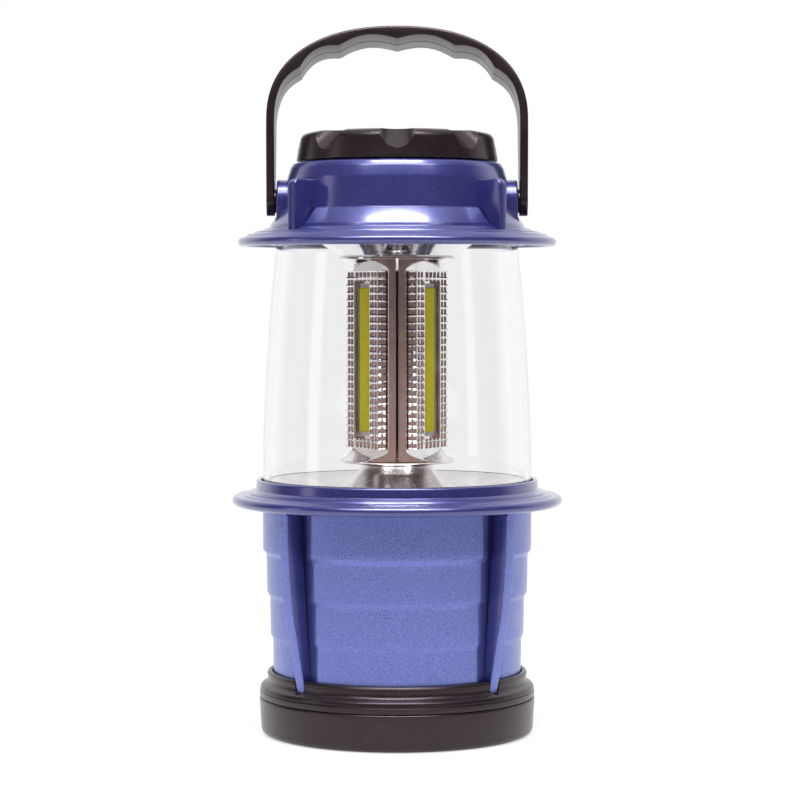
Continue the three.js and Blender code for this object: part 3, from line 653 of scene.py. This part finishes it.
def housing_core(top):
    """The smooth shell, the deck under the reflector, and the ribs."""
    low, high = BAND_RADII[0][0] - CHANNEL_DEPTH, BAND_RADII[-1][1] - CHANNEL_DEPTH
    shell = revolved([(low, HOUSING_BOTTOM), (high, top), (high - HOUSING_WALL, top),
                      (low - HOUSING_WALL, HOUSING_BOTTOM)])
    deck = revolved([(DECK_BORE, DECK_LOW), (DECK_RADIUS, DECK_LOW), (DECK_RADIUS, DECK_HIGH),
                     (DECK_BORE, DECK_HIGH)], 96)
    ribs = around(plate(rib_outline(top), RIB_THICKNESS, RIB_BEVEL), FIN_AZIMUTHS)
    return together([shell, deck, *ribs])


def housing_skin(top):
    """The sand-textured panels, and the strips along the ribs' edges."""
    line = resampled(band_profile(HOUSING_BOTTOM, top), 2.0)
    panels = [turned(panel(line, gap), azimuth) for azimuth, gap in SECTORS]
    strip = plate(rib_edge_outline(top), RIB_THICKNESS + 2 * RIB_SKIN, RIB_BEVEL)
    return together([*panels, *around(strip, FIN_AZIMUTHS)])


def lower_housing():
    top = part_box("lower_housing")[1].z / MM
    core = make_object("housing_shell", housing_core(top))
    show(core, "lantern_body", ["lower_housing"], "blue_gloss")
    skin = make_object("housing_panels", housing_skin(top))
    show(skin, "lantern_body", ["lower_housing"], "blue_shell")


# ---- Flange ring and globe ----


def flange_ring():
    radius, _, top = span("flange_ring")
    bottom = top - 9.1
    bead = (radius - 1.8, bottom + 1.75)
    lip = radius - 8.4
    piece = make_object("flange_moulding", revolved([
        *rounded([(39.5, bottom), (radius - 3.2, bottom, 0.3), (bead[0], bead[1] - 1.75)]),
        *arc(bead, 1.8, -75, 100, 14),
        *rounded([
            (bead[0] - 0.5, bead[1] + 1.7),
            (radius - 3.2, top - 5.6, 0.25),
            (radius - 4.0, top - 5.0, 0.45),
            (radius - 5.4, top - 4.9, 0.25),
            (radius - 5.8, top - 4.25, 0.45),
            (radius - 7.4, top - 4.05, 0.3),
            (lip + 0.15, top - 3.4, 0.4),
            (lip - 0.1, top, 1.0),
            (lip - 1.6, top, 0.6),
            (lip - 1.6, top - 5.9),
            (39.5, top - 5.9),
        ], steps=6),
    ]))
    show(piece, "lantern_body", ["flange_ring"], "blue_gloss")


def globe():
    _, bottom, top = span("globe")
    wall = 2.0
    outer = curve_through([(47.05, bottom), (46.95, 92), (46.8, 105), (46.0, 122), (44.9, 140),
                           (43.7, 155), (42.5, 167), (41.9, top)], 6)
    inner = [(r - wall, z) for r, z in outer][::-1]
    piece = make_object("globe_glass", revolved([*outer, *inner]))
    show(piece, "lantern_body", ["globe"], "globe_clear")


# ---- Reflectors ----


def lower_reflector():
    """A shallow dish whose middle rises into a trumpet under the post."""
    radius, bottom, top = span("lower_reflector")
    rim = bottom + 5.6
    upper = curve_through([
        (radius, rim), (40, 87.4), (33, 85.9), (27, 85.3), (23.4, 85.6), (20.6, 86.4),
        (17.0, 88.3), (14.4, 90.4), (13.1, 92.4), (12.5, top),
    ], 8)
    lower = curve_through([
        (11.4, top), (12.0, 92.0), (13.4, 89.8), (16.2, 87.4), (20, 85.4), (27, 84.3),
        (36, 85.2), (40.2, 86.2),
    ], 6)
    skirt = [(40.2, bottom), (41.4, bottom), (41.4, 87.0), (radius, rim - 0.7)]
    piece = make_object("dish_lower", revolved([*upper, *lower, *skirt]))
    show(piece, "lantern_body", ["lower_reflector"], "reflector_chrome", SATIN_CHROME)


def upper_reflector():
    """The metallised cone, and the rim round it that the globe's top meets; the black plastic on the rim is
    painted shade for the shadowed blue underside there.
    """
    _, bottom, top = span("upper_reflector")
    edge = 29.4
    cone = revolved(rounded([
        (9.4, bottom), (21.0, bottom, 0.4), (22.6, bottom + 1.4, 1.5), (28.2, bottom + 5.4, 1.5),
        (edge, bottom + 7.0, 0.4), (edge, top), (edge - 2.0, top), (27.0, bottom + 5.9),
        (21.6, bottom + 2.0), (20.6, bottom + 0.9), (9.4, bottom + 0.9),
    ], closed=True))
    rim = revolved([(edge, top - 0.9), (41.8, top - 0.9), (41.8, top), (edge, top)])
    show(make_object("dish_upper", cone), "lantern_body", ["upper_reflector"], "reflector_chrome")
    # The rim wears black plastic as painted shade: it stands in for the shadow under the crown on a blue
    # underside.
    show(make_object("dish_upper_rim_painted_shade", rim), "lantern_body", ["upper_reflector"], "black_plastic")


# ---- LED post ----

POST_FACE = 10.8
POST_EDGE = 16.9
EDGE_HALF_WIDTH = 2.8
GROOVE_DEPTH = 1.5
GROOVE_HALF_WIDTH = 0.45
WEB_SPREAD = 9.0  # how much wider a web is where it meets its disc
FLARE = 4.6  # height over which the post's edges spread into webs
LOW_DISC = 95.8
HIGH_DISC = 165.6
POST_STEP = 0.75  # degrees
TRAY_BACK = POST_FACE + 0.3
TRAY_WIDTH = 24.6
TRAY_DEPTH = 3.1
SLOT_WIDTH = 10.8
SLOT_DEPTH = 2.1
SLOT_RIM = 0.45
CELL_ROWS = 24
SIDE_COLUMNS = 3
SLOT_COLUMNS = 4
VALLEY_DEPTH = 0.75  # of the valley in each column of cells
ROW_DEPTH = 0.25  # between a row's face and its ridges
ROW_INSET = 0.7  # of a row's ends
ROW_SLOPES = (0.04, 0.2, 0.8, 0.96)  # shares of a row's height where its slopes start and end
TRAY_CORNER = 0.35


def post_radius(azimuth, spread, disc):
    """The post's section: flat faces joined by blunt grooved edges. Towards a disc the spread
    goes from 0 to 1, and each edge widens into a web that still faces outwards."""
    face = min(abs((azimuth - middle + 180) % 360 - 180) for middle in PANEL_AZIMUTHS)
    flat = POST_FACE / math.cos(math.radians(min(face, 59.9)))
    off = math.radians(60 - face)
    across = POST_EDGE * math.tan(off)
    front = POST_EDGE / math.cos(off) - 0.05 * min(across, 3.0) ** 2
    groove = GROOVE_DEPTH * max(0.0, 1 - across / GROOVE_HALF_WIDTH) * (1 - spread)
    web_half = EDGE_HALF_WIDTH + WEB_SPREAD * spread ** 2.4
    web = min(front, web_half / max(math.sin(off), 0.01), disc)
    return max(min(flat, front), web) - groove


def post_ring(radii, height):
    azimuths = np.radians(np.arange(0, 360, POST_STEP))
    radii = np.broadcast_to(radii, len(azimuths))
    turn = np.column_stack([np.cos(azimuths), np.sin(azimuths)])
    return np.column_stack([turn * radii[:, None], np.full(len(azimuths), height)])


def flare_rings(disc, height, way):
    """Rings from a disc's face inwards, over which the webs narrow to the post's edges."""
    rings = []
    for share in np.linspace(1, 0, 18):
        radii = np.array([post_radius(a, share, disc - 0.3) for a in np.arange(0, 360, POST_STEP)])
        rings.append(post_ring(radii, height - way * FLARE * (1 - share)))
    return rings


def led_core():
    disc, bottom, top = span("led_core")
    low_disc = disc - 0.4
    foot = rounded([
        (0.01, bottom),
        (9.8, bottom),
        (9.8, LOW_DISC - 1.4, 0.5),
        (low_disc - 0.6, LOW_DISC - 1.0, 0.3),
        (low_disc, LOW_DISC - 0.7, 0.2),
        (low_disc, LOW_DISC - 0.15, 0.15),
    ])
    head = rounded([
        (disc, HIGH_DISC + 0.15, 0.15),
        (disc, HIGH_DISC + 0.75, 0.2),
        (disc - 0.5, HIGH_DISC + 0.95, 0.2),
        (9.0, HIGH_DISC + 0.95),
        (9.0, top),
        (0.01, top),
    ])
    rings = [post_ring(r, z) for r, z in foot]
    rings += flare_rings(low_disc, LOW_DISC, -1)
    rings += flare_rings(disc, HIGH_DISC, 1)[::-1]
    rings += [post_ring(r, z) for r, z in head]
    piece = make_object("post_moulding", ring_body(rings, closed=False))
    show(piece, "lantern_body", ["led_core"], "reflector_chrome")


def cell_columns(edges, kind):
    """Stations of columns of cells: each has a flat land, then a valley."""
    stations = []
    for start, end in zip(edges, edges[1:]):
        for share, depth in ((0.04, 0.0), (0.28, 0.0), (0.60, VALLEY_DEPTH)):
            stations.append((start + (end - start) * share, depth, kind))
    return stations


def tray_columns():
    """Stations across a tray's front: (offset, depth of its valley, what it belongs to)."""
    half, slot = TRAY_WIDTH / 2, SLOT_WIDTH / 2
    right = [(slot + 0.02, 0.0, "rim"), (slot + SLOT_RIM - 0.02, 0.0, "rim")]
    right += cell_columns(np.linspace(slot + SLOT_RIM, half, SIDE_COLUMNS + 1), "cell")
    middle = cell_columns(np.linspace(-slot, slot, SLOT_COLUMNS + 1), "slot")
    left = [(-offset, depth, kind) for offset, depth, kind in reversed(right)]
    return [*left, (-slot + 0.01, 0.0, "slot"), *middle, (slot - 0.01, 0.0, "slot"), *right]


def row_dip(share):
    """How far a row of cells is sunk, from its lower ridge (0) to the next one (1)."""
    return np.interp(share, ROW_SLOPES, (0, 1, 1, 0))


def tray_section(columns, sunk, in_slot, z):
    """One outline round a tray. Its front faces +X; sunk rows are narrower and shallower."""
    half = TRAY_WIDTH / 2 - ROW_INSET * sunk
    face = TRAY_BACK + TRAY_DEPTH
    front = []
    for offset, valley, kind in columns:
        depth = face - sunk * (ROW_DEPTH + valley)
        if kind == "slot" and in_slot:
            depth = face - SLOT_DEPTH
        elif kind == "rim" and in_slot:
            depth = face
        front.append((depth, np.clip(offset, -half + TRAY_CORNER, half - TRAY_CORNER), z))
    side = [TRAY_BACK, TRAY_BACK + 1.0, TRAY_BACK + 1.8, face - 0.9 * sunk - TRAY_CORNER]
    left = [(x, -half, z) for x in side]
    right = [(x, half, z) for x in side[::-1]]
    return [*left, *front, *right]


def tray_body(bottom, top, slot_bottom, slot_top):
    """Rows of cells between ridges, with a slot in the middle for the light strip."""
    columns = tray_columns()
    pitch = (top - bottom) / CELL_ROWS
    stops = [bottom + pitch * (row + share) for row in range(CELL_ROWS)
             for share in (0.0, 0.5, *ROW_SLOPES)] + [top]
    stops = sorted(set(stops + [slot_bottom - 0.01, slot_bottom, slot_top, slot_top + 0.01]))
    rings = []
    for z in stops:
        sunk = row_dip(((z - bottom) / pitch) % 1.0)
        rings.append(tray_section(columns, sunk, slot_bottom <= z <= slot_top, z))
    return ring_body(rings, closed=False)


def led_trays():
    low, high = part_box("led_tray_3")
    strip_low, strip_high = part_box("cob_strip_3")
    end_frame, slot_gap = 2.4, 0.8
    body = tray_body(low.z / MM + end_frame, high.z / MM - end_frame,
                     strip_low.z / MM - slot_gap, strip_high.z / MM + slot_gap)
    for i, azimuth in enumerate(PANEL_AZIMUTHS):
        piece = make_object(f"tray_facets_{i + 1}", turned(body, azimuth))
        show(piece, "lantern_body", [f"led_tray_{i + 1}"], "reflector_chrome")


def strip_plate(width, bottom, top, thickness, corner, bevel):
    """An upright plate with rounded corners and edges."""
    outline = rounded([(-width / 2, bottom, corner), (width / 2, bottom, corner),
                       (width / 2, top, corner), (-width / 2, top, corner)], closed=True)
    return plate(outline, thickness, bevel)


def cob_strips():
    """A white board with the domed yellow phosphor on it."""
    low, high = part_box("cob_strip_3")
    bottom, top, width = low.z / MM, high.z / MM, (high.x - low.x) / MM
    back = TRAY_BACK + 1.0 + 0.1
    board = strip_plate(width, bottom, top, 0.6, 0.3, 0.1)
    gel = strip_plate(width - 0.3, bottom + 1.5, top - 1.5, 1.2, 0.8, 0.45)
    for i, azimuth in enumerate(PANEL_AZIMUTHS):
        board_here = turned(board, azimuth + 90, (0, -(back + 0.3), 0))
        gel_here = turned(gel, azimuth + 90, (0, -(back + 0.5), 0))
        base = make_object(f"strip_board_{i + 1}", board_here)
        light = make_object(f"strip_phosphor_{i + 1}", gel_here)
        show(base, "lantern_body", [f"cob_strip_{i + 1}"], "white_plastic")
        show(light, "lantern_body", [f"cob_strip_{i + 1}"], "cob_yellow")


# ---- Crown ----

PIVOT = next(Vector(j["pos_m"]) / MM for j in frame["joints"] if j["name"] == "handle_swing")
EAR_INSIDE = 37.3
EAR_OUTSIDE = 41.9
EAR_RADIUS = 7.4
FIN_FOOT = 175.2
PLINTH_FOOT = 176.4


def crown_shell():
    """The crown's wall, top and stepped flange, with the bead round its rim."""
    radius, bottom, top = span("crown_housing")
    bead = (radius - 1.6, bottom + 1.4)
    return revolved([
        (42.7, bottom + 0.3), (44.4, bottom + 0.3), (44.6, bottom + 1.8),
        *rounded([(44.6, bottom + 1.9), (radius - 2.9, bottom + 1.9, 0.4),
                  (bead[0] - 0.9, bead[1] - 1.3)]),
        *arc(bead, 1.6, -100, 95, 14),
        *rounded([
            (bead[0] - 0.5, bead[1] + 1.5),
            (radius - 2.6, bottom + 3.35, 0.25),
            (radius - 3.4, bottom + 4.1, 0.45),
            (radius - 5.6, bottom + 4.4, 0.25),
            (radius - 6.0, bottom + 5.0, 0.45),
            (radius - 8.6, bottom + 5.4, 0.25),
            (radius - 9.0, bottom + 5.9, 0.45),
            (44.6, 176.7, 0.6),
            (40.2, 177.2, 0.8),
            (38.4, 193.5, 6.0),
            (37.3, 197.2, 2.5),
            (36.4, top - 0.4, 0.9),
            (35.2, top, 0.5),
            (33.0, top),
        ], steps=6),
        (4.6, top), (4.6, top - 2.4), (35.6, top - 2.4),
        (37.0, 183.0), (38.8, 176.0), (42.7, 176.0),
    ])


def plinth(gap):
    """One raised sector at the wall's foot between two fins. Its ends lean inwards."""
    section = rounded([
        (37.2, PLINTH_FOOT), (44.7, PLINTH_FOOT), (44.3, 177.6, 0.5), (43.3, 179.0, 0.5),
        (40.7, 182.7, 0.5), (39.6, 183.2, 0.4), (37.2, 183.2),
    ], closed=True, steps=5)
    rings = []
    for share in np.linspace(-1, 1, 61):
        ring = []
        for r, z in section:
            angle = math.radians(share * (gap - 2.0 - 0.4 * (z - PLINTH_FOOT)))
            ring.append((r * math.cos(angle), r * math.sin(angle), z))
        rings.append(ring)
    return ring_body(rings, closed=False)


def fin_outline():
    inside, outside, height = 37.0, 49.0, span("crown_housing")[2] - 6.7
    return rounded([(inside, FIN_FOOT), (outside, FIN_FOOT), (outside, height, 2.4),
                    (inside, height)], closed=True, steps=8)


def ear_outline():
    foot = [(-EAR_RADIUS, FIN_FOOT), (EAR_RADIUS, FIN_FOOT)]
    return [*foot, *arc((0, PIVOT.z), EAR_RADIUS, 0, 180, 28)]


def crown_housing():
    fins = around(plate(fin_outline(), 3.5, 0.6, 4), FIN_AZIMUTHS)
    thick = EAR_OUTSIDE - EAR_INSIDE
    ear = plate(ear_outline(), thick, 0.7, 4)
    ears = [turned(ear, way, (0, -(EAR_INSIDE + thick / 2), 0)) for way in (90, 270)]
    plinths = [turned(plinth(gap), azimuth) for azimuth, gap in SECTORS]
    piece = make_object("crown_moulding", together([crown_shell(), *fins, *ears, *plinths]))
    show(piece, "lantern_body", ["crown_housing"], "blue_gloss")


# ---- Dimmer knob ----

SCOOPS = 8
SCOOP_RADIUS = 7.0
SCOOP_SLOPE = math.radians(35)
SCOOP_AXIS = (38.5, 208.6)  # a point on it: radius, height


def scoop_depth(radius, height, across):
    """How far inside the scoop's cylinder a point is, measured square to its slope."""
    out, up = radius - SCOOP_AXIS[0], height - SCOOP_AXIS[1]
    away = out * math.sin(SCOOP_SLOPE) + up * math.cos(SCOOP_SLOPE)
    return away + math.sqrt(max(0.0, SCOOP_RADIUS ** 2 - across ** 2))


def scoop_half_angle(radius, height):
    """Half the angle that the scoop takes out of the knob at a profile point, or 0."""
    low, high = 0.0, math.pi / SCOOPS
    if radius < 1 or scoop_depth(radius, height, 0.0) <= 0:
        return 0.0
    for _ in range(40):
        middle = (low + high) / 2
        inside = scoop_depth(radius * math.cos(middle), height, radius * math.sin(middle)) > 0
        inside = inside and radius * math.sin(middle) < SCOOP_RADIUS
        low, high = (middle, high) if inside else (low, middle)
    return low


def scooped_ring(radius, height):
    """One ring of the knob, its points bunched at the scoops' edges and sunk inside them."""
    half = max(scoop_half_angle(radius, height), 0.002)
    sector = math.pi / SCOOPS
    shares = [*(-sector + (sector - half) * np.linspace(0, 1, 7)[:-1]),
              *(half * np.linspace(-1, 1, 17)),
              *(half + (sector - half) * np.linspace(0, 1, 7)[1:-1])]
    ring = []
    for k in range(SCOOPS):
        angle = 2 * math.pi * k / SCOOPS
        c, s = math.cos(angle), math.sin(angle)
        for offset in shares:
            x, y = radius * math.cos(offset), radius * math.sin(offset)
            depth = max(0.0, scoop_depth(x, height, y)) if abs(offset) < half else 0.0
            x, z = x - depth * math.sin(SCOOP_SLOPE), height - depth * math.cos(SCOOP_SLOPE)
            ring.append((x * c - y * s, x * s + y * c, z))
    return ring


def dimmer_knob():
    """A cap, scooped outside and smooth inside."""
    radius, bottom, top = span("dimmer_knob")
    outside = resampled(rounded([
        (radius - 2.8, bottom),
        (radius, bottom, 0.4),
        (radius - 1.5, top - 0.9, 2.6),
        (30.0, top, 1.0),
        (0.02, top),
    ], steps=14), 0.7)
    inside = rounded([
        (0.02, top - 2.9),
        (24.4, top - 2.9, 1.0),
        (30.8, bottom + 2.5, 1.0),
        (radius - 2.8, bottom),
    ])
    rings = [scooped_ring(r, z) for r, z in outside]
    count, first = len(rings[0]), -math.pi / SCOOPS
    angles = np.linspace(first, 2 * math.pi + first, count, endpoint=False)
    turn = np.column_stack([np.cos(angles), np.sin(angles)])
    rings += [np.column_stack([turn * r, np.full(count, z)]) for r, z in inside[:-1]]
    piece = make_object("knob_moulding", ring_body(rings))
    show(piece, "dimmer", ["dimmer_knob"], "black_plastic")


# ---- Handle ----

HANDLE_RISE = 60.3
HANDLE_SHOULDER = 27.0
HANDLE_WIDTH = 20.0
HANDLE_LEAN = math.radians(9)
CUSPS = (0.0, 21.6, 37.0)  # distances of the cusps between the scallops from the middle
HANDLE_END = 5.1
ARM_HALF_WIDTH = HANDLE_END + 0.1
STRAP_THIN = 2.75
CUSP_HEIGHT = 1.85
PEG_RADIUS = 3.2
COLLAR_RADIUS = 4.2


def handle_line():
    """The outer line of one half, from the top of the bow to the arm's foot: (x, rise)."""
    half_width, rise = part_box("handle")[1].x / MM, HANDLE_RISE - HANDLE_SHOULDER
    power = 2 / 2.3
    bow = []
    for angle in np.linspace(math.pi / 2, 0, 60):
        x = half_width * max(0.0, math.cos(angle)) ** power
        bow.append((x, HANDLE_SHOULDER + rise * max(0.0, math.sin(angle)) ** power))
    arm = [(half_width, level) for level in np.linspace(HANDLE_SHOULDER - 1.5, 0, 16)]
    turns = np.linspace(0.12, math.pi / 2 * 0.985, 10)
    foot = [(half_width, -HANDLE_END * math.sin(a)) for a in turns]
    return resampled([*bow, *arm, *foot], 1.2)


def half_depth(rise):
    """Half the strap's front-to-back width at a height above the pivot line."""
    if rise < 0:
        return math.sqrt(max(0.3, ARM_HALF_WIDTH ** 2 - rise ** 2))
    share = np.clip(rise / 23.0, 0, 1)
    return ARM_HALF_WIDTH + (HANDLE_WIDTH / 2 - ARM_HALF_WIDTH) * share * (1.15 - 0.15 * share)


def strap_thickness(x, travel, last_cusp):
    """The strap is thickest at the cusps between the finger scallops."""
    if x < CUSPS[2]:
        first, second = CUSPS[:2] if x < CUSPS[1] else CUSPS[1:]
        return STRAP_THIN + CUSP_HEIGHT * (1 - math.sin(math.pi * (x - first) / (second - first)))
    share = min(1.0, (travel - last_cusp) / 11.0)
    return STRAP_THIN + 0.1 + (CUSP_HEIGHT - 0.1) * (1 - math.sin(math.pi / 2 * share))


def strap_section(outer, outward, thickness, half):
    """One ring round the strap. The finger side carries a shallow crease along its middle."""
    edge = min(0.8, thickness * 0.3)
    flat = rounded([(0, -half, edge), (0, half, edge), (-thickness, half, edge * 0.6),
                    (-thickness, 0.35), (-thickness + 0.3, 0.0), (-thickness, -0.35),
                    (-thickness, -half, edge * 0.6)], closed=True, steps=4)
    return [(outer[0] + outward[0] * depth, y, outer[1] + outward[1] * depth) for depth, y in flat]


def strap():
    """The strap from foot to foot, upright and centred on the pivot line."""
    line = np.array(handle_line())
    travel = np.concatenate([[0], np.cumsum(np.linalg.norm(np.diff(line, axis=0), axis=1))])
    bow = line[:, 1] > HANDLE_SHOULDER
    last_cusp = float(np.interp(CUSPS[2], line[bow, 0], travel[bow]))
    ahead = np.gradient(line, axis=0)
    ahead /= np.linalg.norm(ahead, axis=1, keepdims=True)
    half_rings = []
    for point, way, gone in zip(line, ahead, travel):
        outward = (-way[1], way[0])
        thickness = strap_thickness(point[0], gone, last_cusp)
        half_rings.append(strap_section(point, outward, thickness, half_depth(point[1])))
    right = np.array(half_rings)
    left = right[::-1].copy()
    left[:, :, 0] *= -1
    return ring_body([*left[:-1], *right], closed=False)


def peg(way):
    """The pivot peg with the collar that spaces the arm from its ear."""
    points, faces = revolved(rounded([
        (0, 37.7), (PEG_RADIUS, 37.7, 0.4), (PEG_RADIUS, 42.15, 0.1),
        (COLLAR_RADIUS, 42.15, 0.2), (COLLAR_RADIUS, 43.2), (0, 43.2),
    ]), 48)
    x, y, z = points.T
    return np.column_stack([z * way, y, x]), faces


def handle():
    """The strap and its pegs, leant back a little from upright."""
    points, faces = together([strap(), peg(-1), peg(1)])
    x, y, z = points.T
    c, s = math.cos(HANDLE_LEAN), math.sin(HANDLE_LEAN)
    leant = np.column_stack([x, y * c + z * s, z * c - y * s + PIVOT.z])
    piece = make_object("handle_strap", (leant, faces))
    show(piece, "handle", ["handle"], "black_plastic")


# ---- Studio ----

FLOOR_RADIUS = 850
FLOOR_LEVEL = -0.15
FLOOR_BOTTOM = -5
FLOOR_GLOW = 0.66
STUDIO_DARK = (0.085, 0.055, 0.055, 1.0)
STUDIO_LOW = (0.44, 0.28, 0.24, 1.0)
STUDIO_WHITE = (1.0, 1.0, 1.0, 1.0)
SIDE_LEAN = 0.15  # how much further round the white reaches on the right than on the left


def white_floor():
    """A round white light table."""
    n = Nodes("floor")
    n.colour(n.ramp(n.noise(180.0, 3), 0.3, 0.7, (0.34, 0.34, 0.34), (0.36, 0.36, 0.36)))
    n.set(Roughness=0.9, Specular_IOR_Level=0.1, Emission_Color=(1.0, 1.0, 1.0, 1.0),
          Emission_Strength=FLOOR_GLOW)
    disc = revolved([(0, FLOOR_LEVEL), (FLOOR_RADIUS, FLOOR_LEVEL), (FLOOR_RADIUS, FLOOR_BOTTOM),
                     (0, FLOOR_BOTTOM)], 96)
    floor = make_object("floor", disc)
    floor.data.materials.append(n.material)


class WorldNodes:
    """The nodes of the studio's world, with short calls for the ones used here."""

    def __init__(self, name):
        self.world = bpy.data.worlds.new(name)
        self.world.use_nodes = True
        self.tree = self.world.node_tree
        place = self.tree.nodes.new("ShaderNodeTexCoord").outputs["Generated"]
        split = self.tree.nodes.new("ShaderNodeSeparateXYZ")
        self.tree.links.new(place, split.inputs[0])
        self.way = split.outputs
        self.rays = self.tree.nodes.new("ShaderNodeLightPath").outputs

    def put(self, value, socket):
        """Links another node's output to a socket, or sets the socket to a plain value."""
        if hasattr(value, "is_output"):
            self.tree.links.new(value, socket)
        else:
            socket.default_value = value

    def faded(self, source, low, high):
        """A smooth rise from 0 to 1 as the source goes from low to high."""
        node = self.tree.nodes.new("ShaderNodeMapRange")
        node.interpolation_type = "SMOOTHSTEP"
        node.inputs["From Min"].default_value = low
        node.inputs["From Max"].default_value = high
        self.put(source, node.inputs["Value"])
        return node.outputs["Result"]

    def combined(self, operation, *values):
        node = self.tree.nodes.new("ShaderNodeMath")
        node.operation = operation
        for socket, value in zip(node.inputs, values):
            self.put(value, socket)
        return node.outputs["Value"]

    def towards(self, share, colour, other):
        """The first colour where the share is 0, the other where it is 1."""
        node = self.tree.nodes.new("ShaderNodeMix")
        node.data_type = "RGBA"
        self.put(share, node.inputs["Factor"])
        self.put(colour, node.inputs["A"])
        self.put(other, node.inputs["B"])
        return node.outputs["Result"]


def studio_world():
    """White behind, overhead, for the eye and through the clear globe. In front it is dark, and
    lighter below the horizon."""
    w = WorldNodes("studio")
    bpy.context.scene.world = w.world
    colour = w.towards(w.faded(w.way["Z"], 0.02, -0.085), STUDIO_DARK, STUDIO_LOW)
    behind = w.combined("MULTIPLY_ADD", w.way["X"], SIDE_LEAN, w.way["Y"])
    colour = w.towards(w.faded(behind, 0.10, 0.60), colour, STUDIO_WHITE)
    colour = w.towards(w.faded(w.way["Z"], 0.62, 1.05), colour, STUDIO_WHITE)
    bounces = w.combined("ADD", w.rays["Glossy Depth"], w.rays["Diffuse Depth"])
    straight = w.combined("LESS_THAN", bounces, 0.5)
    through = w.combined("MULTIPLY", w.rays["Is Transmission Ray"], straight)
    colour = w.towards(w.rays["Is Camera Ray"], colour, STUDIO_WHITE)
    colour = w.towards(through, colour, STUDIO_WHITE)
    background = w.tree.nodes["Background"].inputs
    w.put(colour, background["Color"])
    background["Strength"].default_value = 1.0


def soft_light(name, place, aim, width, height, power):
    """A rectangular area light."""
    data = bpy.data.lights.new(name, "AREA")
    data.shape = "RECTANGLE"
    data.size, data.size_y, data.energy = width, height, power
    light = bpy.data.objects.new(name, data)
    light.location = place
    light.rotation_euler = (Vector(aim) - Vector(place)).to_track_quat("-Z", "Y").to_euler()
    bpy.context.scene.collection.objects.link(light)


def studio_lights():
    middle = (0, 0, 0.13)
    soft_light("key", (0.0, -0.88, 1.32), middle, 1.8, 0.4, 16.0)
    soft_light("overhead", (0.0, -0.42, 1.28), middle, 0.8, 0.24, 14.0)
    soft_light("left_strip", (-1.16, -0.29, 0.25), middle, 0.25, 0.8, 0.9)


def studio():
    bpy.context.scene.view_settings.view_transform = "Standard"
    white_floor()
    studio_world()
    studio_lights()


# ---- Build ----


dress_cad_nodes()
battery_cover()
base_ring()
lower_housing()
flange_ring()
globe()
lower_reflector()
upper_reflector()
led_core()
led_trays()
cob_strips()
crown_housing()
dimmer_knob()
handle()
studio()
